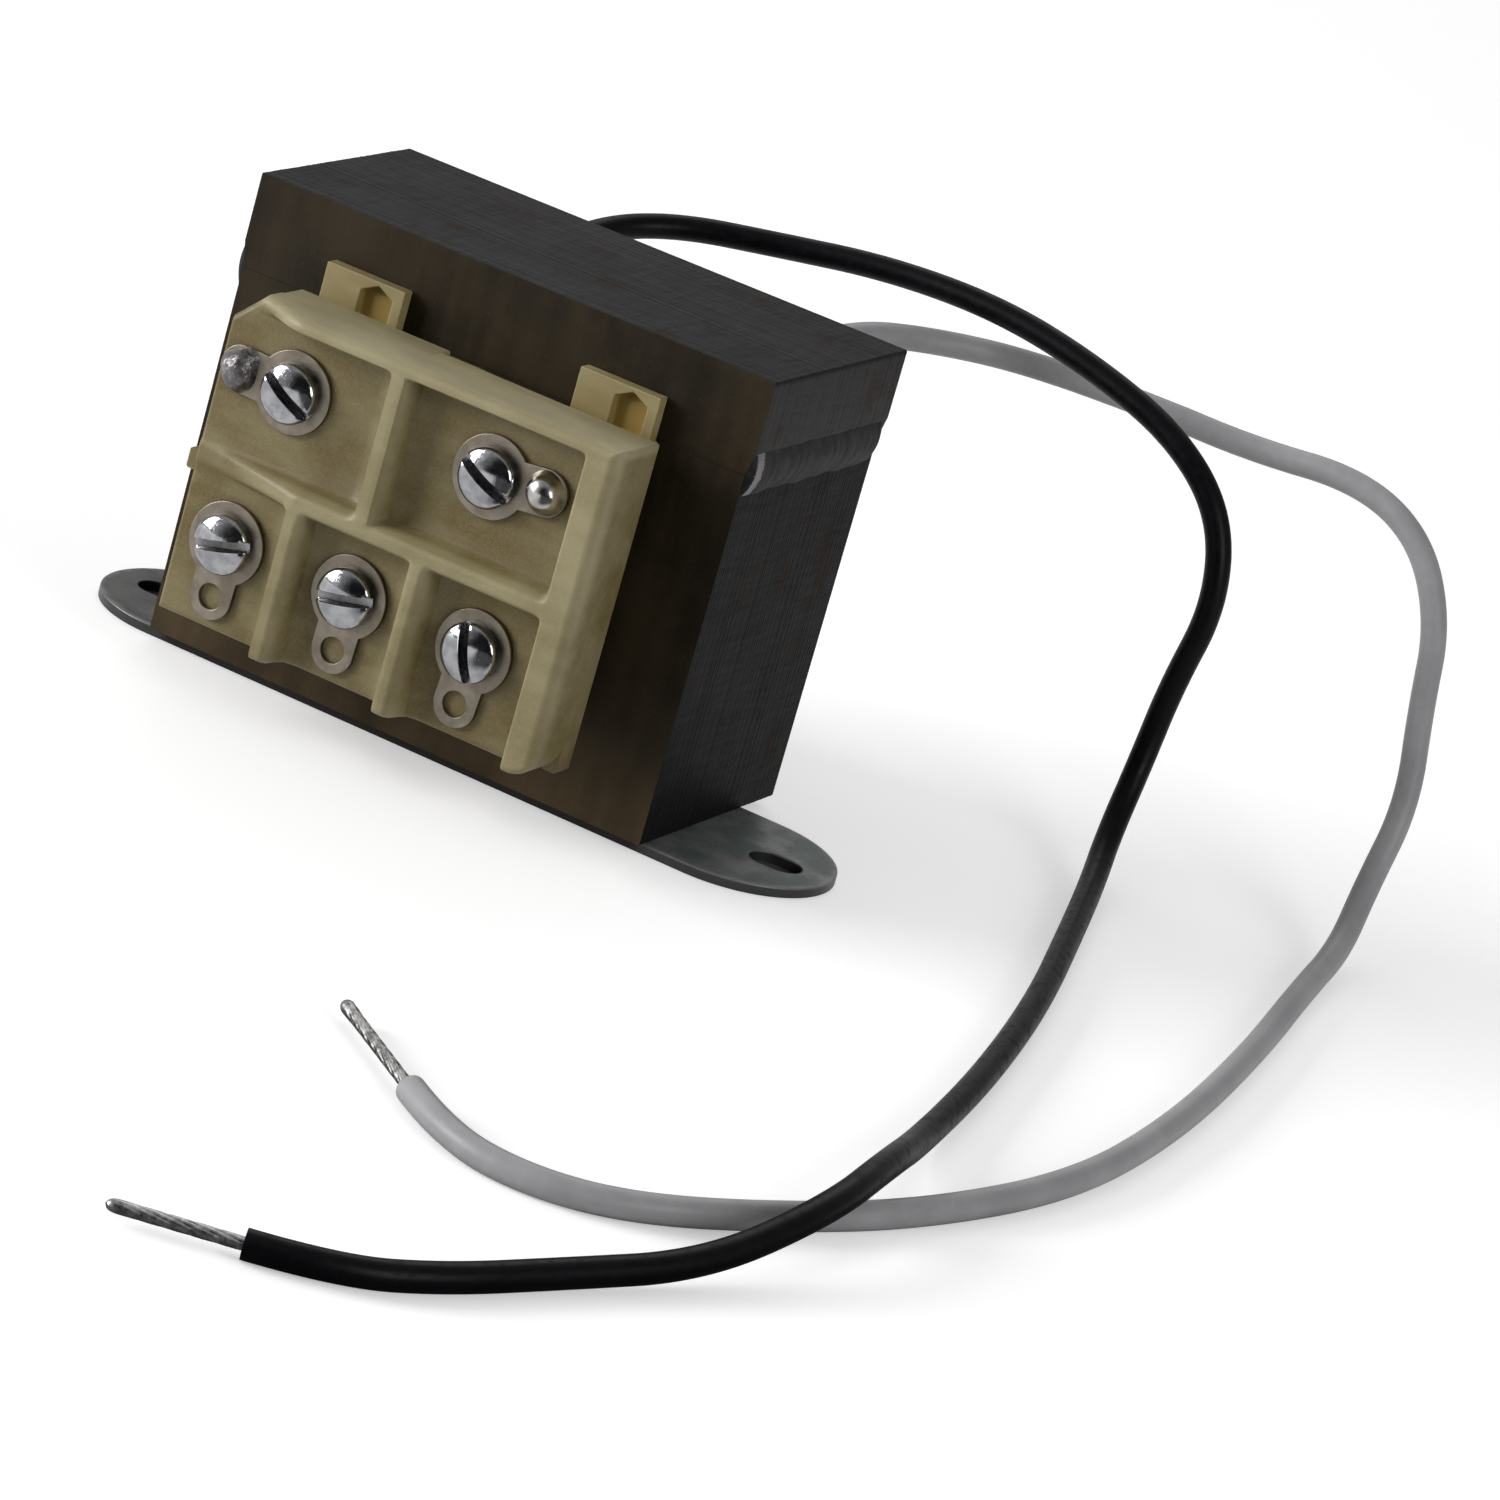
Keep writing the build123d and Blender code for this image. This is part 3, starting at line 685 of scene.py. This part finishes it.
def board_finish(joints):
    """Tan phenolic with flux stains at two joints: painted olive shade in the bays, painted light
    on the barriers.
    """
    finish, place, body, flow, speckle = moulded_finish(
        "board_plastic", paint(97, 83, 43), paint(147, 138, 105), board_painted_light
    )
    away = [
        place.node("ShaderNodeVectorMath", {"operation": "DISTANCE"}, {0: place, 1: joint}, "Value")
        for joint in joints
    ]
    nearest = place.math("MINIMUM", *away) + (flow - 0.5) * 2.0
    flux = 1 - ramp(nearest, stain_r * 0.45, stain_r)
    stained = tint(flux * 0.35, body, paint(92, 70, 36))
    close_finish(place, {
        "Base Color": tint(ramp(speckle, 0.4, 0.7) * 0.08, stained, paint(190, 184, 160)),
        "Roughness": 0.42 + flow * 0.14,
        "Specular IOR Level": 0.35,
        "Normal": relief(speckle * 0.35 + flow * 0.65, 0.035),
    })
    return finish


def smooth_step(value, low, high):
    """0 below low, 1 above high, and a smooth cubic between them."""
    t = np.clip((value - low) / (high - low), 0, 1)
    return t * t * (3 - 2 * t)


def barrier(distance):
    """Section of a barrier: 1 on its crest, falling on a smooth flank to a wide, shallow foot."""
    away = np.abs(distance) - crest_half
    flank, foot = smooth_step(away, 0, flank_w), smooth_step(away, 0, foot_w)
    return 1 - (1 - foot_share) * flank - foot_share * foot


def edge_drop(distance, radius):
    """Drop of a round edge at a distance inside it: a quarter circle of the given radius."""
    inside = np.clip(radius - distance, 0, radius)
    return radius - np.sqrt(radius**2 - inside**2)


def bay_heights(x, z, left, right, low, top):
    """Height over the bays' floor at x, z: barriers, top rim and right wall, less round edges.

    The blend of shares a, b, ... is 1 - (1 - a) * (1 - b) * ..., so the forms melt into each other.
    The long barrier slopes down to the left, and the rim fades out there.
    """
    above = smooth_step(z, barrier_z - barrier_blend, barrier_z + barrier_blend)
    along = np.clip((x - left) / (low_barrier_xs[0] - left), 0, 1)
    slope = left_end_share + (1 - left_end_share) * along**left_end_power
    rim = smooth_step(z, top - rim_t - rim_slope, top - rim_t)
    wall = right - wall_t
    forms = [
        barrier(x - top_barrier_x) * above,
        barrier(z - barrier_z) * slope,
        smooth_step(x, wall - wall_foot, wall + wall_crest),
        rim * smooth_step(x, left + rim_from, left + rim_full),
    ] + [barrier(x - middle) * (1 - above) for middle in low_barrier_xs]
    height = barrier_h * (1 - np.prod([1 - form for form in forms], axis=0))
    inside = {"left": x - left, "right": right - x, "low": z - low, "top": top - z}
    drops = [edge_drop(inside[edge], radius) for edge, radius in edge_rounds.items()]
    return height - np.max(drops, axis=0)


def closer_at_ends(count):
    """Numbers from 0 to 1 whose steps shrink towards both ends, as t - 0.1 * sin(2 pi t)."""
    t = np.linspace(0, 1, count)
    return t - 0.1 * np.sin(2 * np.pi * t)


def front_plate(left, right, low, top, back_y):
    """Plate whose front is the height over x and z, closed by its edge and a flat back.

    Each column of the grid runs from the plate's lower to its upper outline: a round corner at
    the lower right and a cut one at the upper left.
    """
    x = (left + (right - left) * closer_at_ends(plate_columns))[:, None]
    past = np.clip(x - (right - foot_corner_r), 0, foot_corner_r)
    z_low = low + foot_corner_r - np.sqrt(foot_corner_r**2 - past**2)
    z_top = top - np.clip(corner_cut - (x - left), 0, None)
    z = z_low + (z_top - z_low) * closer_at_ends(plate_rows)
    x = np.broadcast_to(x, z.shape)
    front = back_y - floor_t - bay_heights(x, z, left, right, z_low, z_top)
    number = np.arange(x.size).reshape(x.shape)
    ring = np.concatenate([number[:-1, 0], number[-1, :-1], number[:0:-1, -1], number[0, :0:-1]])
    points = np.stack([x, front, z], axis=-1).reshape(-1, 3)
    back = points[ring] * (1, 0, 1) + (0, back_y, 0)
    back_ring = len(points) + np.arange(len(ring))
    edge = np.stack([ring, np.roll(ring, -1), np.roll(back_ring, -1), back_ring], axis=-1)
    faces = grid_faces(*x.shape, ring=False) + edge.tolist() + [back_ring.tolist()]
    return np.concatenate([points, back]), faces


def round_bar(x0, x1, z0, z1, y0, y1):
    """Bar from y0 to y1 with round long edges, whose outline is drawn in on an arc at y1."""
    corners = [(x0, z0), (x1, z0), (x1, z1), (x0, z1)]
    outline, normals = rounded_outline(corners, skirt_round, round_steps)
    swing = np.linspace(0, np.pi / 2, round_steps)
    y = np.concatenate([[y0], y1 - skirt_round + skirt_round * np.sin(swing)])
    inset = np.concatenate([[0], round_share * skirt_round * (1 - np.cos(swing))])
    flat = outline - inset[:, None, None] * normals
    points = np.insert(flat, 1, np.broadcast_to(y[:, None], flat.shape[:-1]), axis=-1)
    return points.reshape(-1, 3), tube_faces(*flat.shape[:2])


def joined(forms):
    """Points and faces of several forms as one mesh, with the corner numbers carried on."""
    start, faces = 0, []
    for form_points, form_faces in forms:
        faces += [[start + number for number in face] for face in form_faces]
        start += len(form_points)
    return np.concatenate([form_points for form_points, _ in forms]), faces


def board_moulding(finish):
    """The board's front plate, its four skirts and the tab below the long barrier's left end.

    The skirts start inside the plate, lie a hair within its outline, each by another step, and
    end inside each other, so no two faces coincide.
    """
    left, right = board_low[0] + tab_w, board_high[0]
    low, top = board_low[2], board_high[2]
    step = skirt_step
    back = board_low[1] + floor_t + barrier_h
    inside = back - skirt_lap
    side, left_top, right_top = (back + depth for depth in skirt_depths.values())
    floor_y, tab_z = back - floor_t, barrier_z - tab_drop
    forms = [
        front_plate(left, right, low, top, back),
        round_bar(left + step, left + skirt_t, low + step, top - corner_cut, inside, side),
        round_bar(right - skirt_t, right - step, low + step, top - 3 * step, inside, side),
        round_bar(left + corner_cut, top_barrier_x, top - skirt_t, top - step, inside, left_top),
        round_bar(
            top_barrier_x - skirt_lap, right - skirt_end_in,
            top - skirt_t - step, top - 2 * step, inside, right_top,
        ),
        round_bar(
            board_low[0], left + skirt_lap, tab_z - tab_h / 2, tab_z + tab_h / 2,
            floor_y + step, floor_y + tab_t,
        ),
    ]
    add_piece(
        "terminal_board_moulding", *joined(forms), [finish], "board_plastic", "terminal_board",
        sharp=board_crease,
    )


board_moulding(board_finish([
    tuple(node_box("solder_joint_" + side).mean(axis=0)) for side in ("left", "right")
]))
brass = metal_finish(
    "insert_brass", paint(150, 118, 62), paint(196, 164, 98),
    smooth=0.25, rough=0.45, grain=6.0, depth=0.01,
)
for place_name in places:
    dress_node("terminal_insert_" + place_name, brass)


# Terminals: a stamped, tinned lug with an eyelet tail lies on the floor of each bay under a
# plated steel screw with a domed, slotted head.
lug_edge_r = 0.1
head_d, head_h, head_edge_h, shoulder_r = 7.0, 2.3, 1.4, 0.8
side_strips, dome_steps, head_crease = 14, 41, 40
slot_w, slot_depth, slot_lip = 1.1, 1.7, 0.09
slot_turns = (-30, -26, 15, 12, -72)
shank_r, shank_tuck, shank_chamfer, shank_sides = 1.725, 0.2, 0.3, 32


def plated_finish():
    """Bright plating with hairline scratches, duller down in the slot and painted dark there as
    shade.
    """
    finish, place = new_finish("screw_plating")
    painted_slot_shade = place.node("ShaderNodeAttribute", {"attribute_name": "painted_slot_shade"}, {}, "Fac")
    drift = ramp(noise(place, 0.8), 0.35, 0.65)
    hairlines = ramp(noise(stretched(place, 1.0, 1.0, 0.06), 9.0, detail=2.0), 0.58, 0.66)
    # Painted shade down in the slot, darker where deeper.
    slot_darkening = painted_slot_shade * (0.45 + noise(place, 2.2) * 0.5)
    bright = tint(drift, paint(150, 151, 155), paint(178, 179, 182))
    close_finish(place, {
        "Base Color": tint(slot_darkening, bright, paint(62, 58, 54)),
        "Metallic": 1.0,
        "Roughness": 0.08 + drift * 0.05 + hairlines * 0.06 + slot_darkening * 0.3,
        "Normal": relief(hairlines * 0.6 + noise(place, 0.8) * 0.4, 0.003),
    })
    return finish


def turned(profile, middle, count):
    """Profile of radii and heights turned about the line through middle, towards the front.

    The point at angle a is middle plus radius * (cos a, sin a) in x and z, and minus height in y.
    """
    profile = np.asarray(profile, float)
    angle = np.linspace(0, 2 * np.pi, count, endpoint=False)
    radius, height = profile[:, :1], profile[:, 1:]
    return np.stack([
        middle[0] + radius * np.cos(angle),
        np.broadcast_to(middle[1] - height, (len(profile), count)),
        middle[2] + radius * np.sin(angle),
    ], axis=-1)


def slotted_head(seat, slot_turn):
    """Domed head as strips along its slot: points, faces, and how deep each point is in the slot.

    The strip at distance v from the slot's middle runs over the dome from rim to rim, down the
    rim, back under the head and up again. Its top is the dome's height there, or inside the
    shoulder the height of the arc that touches dome and rim. It is lowered to the slot's floor
    where v is inside the slot, and by a smaller share on the slot's lip.
    """
    head_r = head_d / 2
    rise = head_h - head_edge_h
    dome_r = (head_r**2 + rise**2) / (2 * rise)
    flat_r = head_r - shoulder_r
    rim_h = head_h - dome_r + math.sqrt((dome_r - shoulder_r) ** 2 - flat_r**2)
    half = slot_w / 2
    lip_angle = np.arcsin((half + slot_lip) / head_r)
    outside = head_r * np.sin(np.linspace(-np.pi / 2, -lip_angle, side_strips))
    lip = np.array([-half - slot_lip * 0.4, -half - slot_lip * 0.1, -half, -half + slot_lip, 0])
    lip_cut = np.array([0.04, 0.14, 0.9, 1, 1])
    v = np.concatenate([outside, lip, -lip[-2::-1], -outside[::-1]])[:, None]
    cut = np.concatenate([0 * outside, lip_cut, lip_cut[-2::-1], 0 * outside])[:, None]
    over = np.sin(np.linspace(-np.pi / 2, np.pi / 2, dome_steps))
    share = np.concatenate([over, [1, 1, 0.5, 0, -0.5, -1, -1]])
    level = np.concatenate([0 * over + 1, [0.5, 0, 0, 0, 0, 0, 0.5]])
    u = share * np.sqrt(np.clip(head_r**2 - v**2, 0, None))
    r = np.sqrt(u**2 + v**2)
    shoulder = rim_h + np.sqrt(np.clip(shoulder_r**2 - np.clip(r - flat_r, 0, None) ** 2, 0, None))
    dome = np.sqrt(dome_r**2 - r**2) - dome_r + head_h
    dome = np.where(r > flat_r * dome_r / (dome_r - shoulder_r), shoulder, dome)
    depth = cut * np.clip(dome - (head_h - slot_depth), 0, None)
    height = (dome - depth) * level
    turn = math.radians(slot_turn)
    points = np.stack([
        seat[0] + u * math.cos(turn) - v * math.sin(turn),
        seat[1] - height,
        seat[2] + u * math.sin(turn) + v * math.cos(turn),
    ], axis=-1)
    # Share of painted shade: how deep a point lies in the slot.
    painted_slot_shade = np.clip(depth * level / slot_depth, 0, 1)
    return points.reshape(-1, 3), grid_faces(*u.shape), painted_slot_shade


# Tin darkened and tinted tan: a painted reflection of the board around it.
lug_tin_painted_tan = metal_finish(
    "lug_metal", paint(112, 104, 92), paint(146, 138, 126),
    smooth=0.34, rough=0.5, grain=4.0, depth=0.008, marks_per_mm=0.4,
)
plating = plated_finish()
for place_name, slot_turn in zip(places, slot_turns):
    lug = "terminal_lug_" + place_name
    softened_copy(lug, lug + "_stamping", lug_edge_r, lug_tin_painted_tan)
    screw = "terminal_screw_" + place_name
    screw_low, screw_high = node_box(screw)
    seat = (screw_low + screw_high) / 2
    seat[1] = screw_low[1] + head_h
    head, head_faces, painted_slot_shade = slotted_head(seat, slot_turn)
    shank_end = seat[1] - screw_high[1]
    shank = turned([
        (0, shank_tuck), (shank_r, shank_tuck), (shank_r, shank_end + shank_chamfer),
        (shank_r - shank_chamfer, shank_end), (0, shank_end),
    ], seat, shank_sides)
    shank_faces = grid_faces(*shank.shape[:2])
    shank = shank.reshape(-1, 3)
    add_piece(
        screw + "_slotted", *joined([(head, head_faces), (shank, shank_faces)]), [plating],
        "screw_plating", screw,
        marks={"painted_slot_shade": np.concatenate([painted_slot_shade.ravel(), np.zeros(len(shank))])}, sharp=head_crease,
    )


# Solder joints: each secondary lead comes up through the eye of an upper lug and ends in a blob
# of tin-lead solder, smooth on the right and dull and grainy on the left.
solder_d, solder_h = 5.0, 2.2
blob_rows, blob_sides, blob_crease = 17, 48, 70
dome_power, top_sag = 0.85, 0.06
flare_share, flare_end = 0.1, 0.35


def solder_blob(node, finish, lumps, seed):
    """Blob that rises from a thin skirt: a half ellipse with a flare at its foot.

    The radius at angle a is multiplied by 1 plus a few waves in a, which fade towards the top.
    """
    low, high = node_box(node)
    base = np.array([(low[0] + high[0]) / 2, high[1], (low[2] + high[2]) / 2])
    t = np.linspace(0, np.pi / 2, blob_rows)
    flare = np.clip(1 - t / flare_end, 0, 1) ** 2
    radius = solder_d / 2 * ((1 - flare_share) * np.cos(t) ** dome_power + flare_share * flare)
    height = solder_h * np.sin(t) * (1 - top_sag * np.cos(t))
    profile = np.concatenate([[(0, 0)], np.stack([radius, height], axis=1)])
    points = turned(profile, base, blob_sides)
    angle = np.linspace(0, 2 * np.pi, blob_sides, endpoint=False)
    phases = np.random.default_rng(seed).uniform(0, 2 * np.pi, 3)
    wave = sum(np.sin(k * angle + phase) / k for k, phase in enumerate(phases, 2))
    fade = np.concatenate([[0], np.cos(t)])[:, None]
    swell = 1 + lumps * wave * fade
    points[..., ::2] = base[::2] + (points[..., ::2] - base[::2]) * swell[..., None]
    faces = grid_faces(*points.shape[:2])
    add_piece(node + "_blob", points, faces, [finish], "solder", node, sharp=blob_crease)


dull_solder = metal_finish(
    "dull_solder", paint(92, 88, 90), paint(140, 137, 138),
    smooth=0.3, rough=0.5, grain=1.1, depth=0.3,
)
bright_solder = metal_finish(
    "bright_solder", paint(164, 162, 160), paint(196, 194, 192),
    smooth=0.14, rough=0.26, grain=1.0, depth=0.008,
)
hookup = metal_finish(
    "tinned_hookup", paint(150, 148, 146), paint(190, 188, 186),
    smooth=0.25, rough=0.45, grain=3.0, depth=0.02,
)
solder_blob("solder_joint_left", dull_solder, lumps=0.2, seed=5)
solder_blob("solder_joint_right", bright_solder, lumps=0.06, seed=6)
dress_node("secondary_lead_left", hookup)
dress_node("secondary_lead_right", hookup)


# Primary leads: stranded wire in a black and a white jacket. Each leaves its ear behind the core,
# arches down to the right, lies on the table round to the front and ends in tinned strands.
lead_d, ear_back = 3.1, 5.2
strand_d, strand_count, strand_groove, strand_twist = 1.4, 8, 0.16, 0.32
strand_tuck, strand_rows, strand_sides, strand_crease = 1, 70, 64, 70
tin_l, tin_least = 5.0, 0.15
tip_l, tip_rows, tip_from, swell_l = 1.2, 9, 0.1, 2.2
black_route = [
    (-18.6, 21.4, 47.3), (-18.6, 32.0, 48.3), (-16.8, 42.5, 51.0), (-11.0, 50.0, 52.5),
    (-0.5, 54.5, 53.5), (14.0, 56.5, 55.5), (29.5, 56.0, 56.0), (43.5, 54.5, 54.0),
    (56.0, 53.0, 50.5), (64.5, 52.0, 44.0), (67.5, 51.0, 34.0), (65.5, 50.5, 23.0),
    (65.0, 49.5, 13.5), (66.0, 43.5, 5.5), (69.0, 34.5, 2.1), (74.0, 18.5, 1.55),
    (82.0, -7.5, 1.55), (88.5, -35.0, 1.55), (93.0, -60.0, 2.1), (97.0, -77.0, 5.7),
    (99.0, -94.0, 5.7), (95.0, -111.0, 2.1), (87.0, -126.0, 1.55), (81.5, -137.5, 1.55),
    (75.0, -146.0, 1.55), (66.5, -149.5, 1.55),
]
white_route = [
    (15.0, 21.4, 47.3), (15.0, 32.5, 47.9), (17.0, 44.0, 50.0), (23.0, 54.0, 50.0),
    (32.5, 61.0, 50.0), (48.0, 65.0, 49.5), (61.0, 66.0, 49.0), (75.0, 65.5, 50.5),
    (84.5, 64.5, 47.0), (90.0, 63.5, 38.5), (91.5, 62.5, 28.5), (94.0, 61.0, 17.5),
    (94.0, 55.5, 8.0), (96.0, 46.5, 2.6), (98.0, 31.5, 1.55), (103.0, 5.0, 1.55),
    (107.0, -25.0, 1.55), (107.5, -52.0, 1.55), (101.5, -75.5, 1.55), (93.0, -92.0, 1.55),
    (83.5, -105.0, 1.55), (74.0, -109.5, 1.55), (64.0, -108.0, 1.55), (56.0, -101.5, 1.55),
]


def jacket_finish(name, dark, light, smooth, gloss):
    """Extruded plastic jacket: a faint drift of tone and a waxy gloss, scuffed in patches."""
    finish, place = new_finish(name)
    drift = ramp(noise(place, 0.12), 0.35, 0.65)
    scuff = ramp(noise(place, 0.9, detail=6.0), 0.45, 0.7)
    skin = noise(place, 2.6)
    close_finish(place, {
        "Base Color": tint(drift * 0.7 + scuff * 0.3, dark, light),
        "Roughness": smooth + scuff * 0.12,
        "Specular IOR Level": gloss,
        "Normal": relief(skin * 0.5 + scuff * 0.5, 0.015),
    })
    return finish


def lead_jacket(node, route, finish, slot):
    """Round jacket on a smooth spline with the route's points as its control points."""
    name = node + "_jacket"
    curve = bpy.data.curves.new(name, "CURVE")
    curve.dimensions = "3D"
    curve.resolution_u = 16
    curve.bevel_depth = lead_d / 2 * MM
    curve.bevel_resolution = 8
    curve.use_fill_caps = True
    spline = curve.splines.new("NURBS")
    spline.points.add(len(route) - 1)
    corners = np.column_stack([np.array(route) * MM, np.ones(len(route))])
    spline.points.foreach_set("co", corners.ravel())
    spline.order_u = 3
    spline.use_endpoint_u = True
    spline.use_smooth = True
    curve.materials.append(finish)
    return seat_piece(bpy.data.objects.new(name, curve), node)


def strand_end(name, node, route, length, tip_swell, finish):
    """Bundle of tinned strands, carried on straight from the end of a route.

    At angle a and distance s along it, the radius dips at each groove between the strands, which
    wind round as s grows. The grooves fill with tin towards the tip, which is round.
    """
    last, before = np.array(route[-1]), np.array(route[-2])
    way = (last - before) / np.linalg.norm(last - before)
    side, up = np.array([-way[1], way[0], 0]), np.array([0, 0, 1])
    run = np.linspace(-strand_tuck, length - tip_l, strand_rows)
    tip = length - tip_l * np.cos(np.linspace(tip_from, np.pi / 2, tip_rows))
    s = np.concatenate([run, tip])[:, None]
    angle = np.linspace(0, 2 * np.pi, strand_sides, endpoint=False)
    lobes = np.sqrt(np.abs(np.cos(strand_count / 2 * (angle - strand_twist * s))))
    filled = np.clip((length - s) / tin_l, tin_least, 1)
    past = np.clip((s - length + tip_l) / tip_l, 0, 1)
    swell = 1 + tip_swell * np.exp(-(((length - tip_l - s) / swell_l) ** 2))
    round_tip = np.sqrt(np.clip(1 - past**2, 0, 1))
    radius = strand_d / 2 * (1 - strand_groove * filled * (1 - lobes)) * swell * round_tip
    points = (
        last + way * s[..., None]
        + side * (radius * np.cos(angle))[..., None] + up * (radius * np.sin(angle))[..., None]
    )
    faces = tube_faces(*radius.shape)[:-1]
    return add_piece(name, points, faces, [finish], "tinned_wire", node, sharp=strand_crease)


tinned = metal_finish(
    "tinned_strands", paint(140, 139, 139), paint(206, 205, 204),
    smooth=0.22, rough=0.45, grain=2.4, depth=0.03,
)
black_plastic = jacket_finish(
    "black_insulation", paint(5, 5, 8), paint(10, 9, 13), smooth=0.38, gloss=0.12
)
white_plastic = jacket_finish(
    "white_insulation", paint(143, 143, 145), paint(157, 157, 159), smooth=0.4, gloss=0.3
)
for colour, route, length_m, bare_l, tip_swell, plastic in (
    ("black", black_route, 0.360, 13.2, 0.0, black_plastic),
    ("white", white_route, 0.340, 20.0, 0.12, white_plastic),
):
    lead = colour + "_lead"
    jacket = lead_jacket(lead, route, plastic, colour + "_insulation")
    strands = strand_end(lead + "_strands", lead + "_end", route, bare_l, tip_swell, tinned)
    route[0][0] * MM
    route[0][2] * MM


# Studio: a wide white floor, dark in mirrors at the front right, under a large soft lamp at the
# left, a weak one above and behind and a small one at the right. The sky is paler on the left and
# dark round the camera, which stands to the right and looks down.
floor_white, camera_glow, mirror_glow = 0.82, 0.4, 0.2
card_left, card_rear, card_fade, card_share = -5.0, -45.0, 25.0, 0.88
shadow_half, shadow_fade, shadow_white = (46.5, 4.0), 1.0, 0.08
sky_base, sky_left, sky_dim, front_way = 0.33, 0.26, 0.95, (0.37, -0.88)
# From here on, the sizes and places of the floor, the lamps and the camera are in metres.
floor_reach, floor_z = 8.0, -0.00005
lamp_aim = (0.02, -0.01, 0.03)
lamps = {
    "key_lamp": {"from": (-1.35, -0.80, 0.52), "size": 0.8, "power": 28.0},
    "back_lamp": {"from": (-0.35, 0.85, 1.0), "size": 0.8, "power": 2.4},
    "fill_lamp": {"from": (0.78, -0.36, 0.36), "size": 0.4, "power": 2.6},
}
camera_from = (0.310153, -0.645132, 0.237525)
camera_right = (0.851432, 0.452190, 0.265672)
camera_up = (-0.371341, 0.162072, 0.914244)
camera_back = (0.37035, -0.87707, 0.30591)
camera_lens, camera_sensor, camera_near = 157.48, 36.0, 0.01


def floor_finish():
    """Matt white, with a glow that only the camera, mirrors and glass see.

    In mirrors, the floor at the front right is dark, as with a black card held there. The floor
    under the strap, which shows only through the slots, lies in shadow.
    """
    finish, place = new_finish("studio_floor")
    x, y = axis_of(place, "X"), axis_of(place, "Y")
    strap_x, strap_y = node_box("foot_strap").mean(axis=0)[:2]
    beside, behind = abs(x - strap_x) - shadow_half[0], abs(y - strap_y) - shadow_half[1]
    lit = ramp(x.math("MAXIMUM", beside, behind), -shadow_fade, 0.0)
    beyond = ramp(x, card_left, card_left + card_fade)
    before = 1 - ramp(y, card_rear - card_fade, card_rear)
    card = beyond * before * card_share
    by_camera, by_mirror, by_glass = (
        place.node("ShaderNodeLightPath", {}, {}, ray)
        for ray in ("Is Camera Ray", "Is Glossy Ray", "Is Transmission Ray")
    )
    white = (shadow_white + lit * (floor_white - shadow_white)) * (1 - by_mirror * card)
    share = lit * (by_camera * camera_glow + (by_mirror * (1 - card) + by_glass) * mirror_glow)
    matt = place.node("ShaderNodeBsdfDiffuse", {}, {"Color": white})
    glow = place.node("ShaderNodeEmission", {}, {"Strength": share})
    both = place.node("ShaderNodeAddShader", {}, {0: matt, 1: glow})
    place.node("ShaderNodeOutputMaterial", {}, {"Surface": both})
    return finish


floor_mesh = bpy.data.meshes.new("studio_floor")
floor_mesh.from_pydata(
    [(x * floor_reach, y * floor_reach, floor_z) for x, y in ((-1, -1), (1, -1), (1, 1), (-1, 1))],
    [], [(0, 1, 2, 3)],
)
floor_mesh.materials.append(floor_finish())
studio_floor = bpy.data.objects.new("studio_floor", floor_mesh)
bpy.context.scene.collection.objects.link(studio_floor)

for name, values in lamps.items():
    lamp = bpy.data.lights.new(name, "AREA")
    lamp.shape = "SQUARE"
    lamp.size = values["size"]
    lamp.energy = values["power"]
    stand = bpy.data.objects.new(name, lamp)
    stand.location = values["from"]
    away = stand.location - Vector(lamp_aim)
    stand.rotation_euler = away.to_track_quat("Z", "Y").to_euler()
    bpy.context.scene.collection.objects.link(stand)

world = bpy.data.worlds.new("studio")
world.use_nodes = True
world.node_tree.nodes.clear()
sky = Field(world.node_tree)
direction = sky.node("ShaderNodeTexCoord", {}, {}, "Generated")
sky_x, sky_y = axis_of(direction, "X"), axis_of(direction, "Y")
leftness = ramp(0 - sky_x, -0.7, 0.7)
frontness = ramp(sky_x * front_way[0] + sky_y * front_way[1], 0.5, 0.8)
brightness = (sky_base + leftness * sky_left) * (1 - frontness * sky_dim)
background = sky.node("ShaderNodeBackground", {}, {"Strength": brightness})
sky.node("ShaderNodeOutputWorld", {}, {"Surface": background})
bpy.context.scene.world = world

camera_data = bpy.data.cameras.new("camera")
camera_data.sensor_width = camera_sensor
camera_data.lens = camera_lens
camera_data.clip_start = camera_near
camera = bpy.data.objects.new("camera", camera_data)
camera_axes = np.column_stack([camera_right, camera_up, camera_back, camera_from])
camera.matrix_world = Matrix([*camera_axes.tolist(), (0, 0, 0, 1)])
bpy.context.scene.collection.objects.link(camera)
bpy.context.scene.camera = camera
bpy.context.scene.view_settings.view_transform = "Standard"
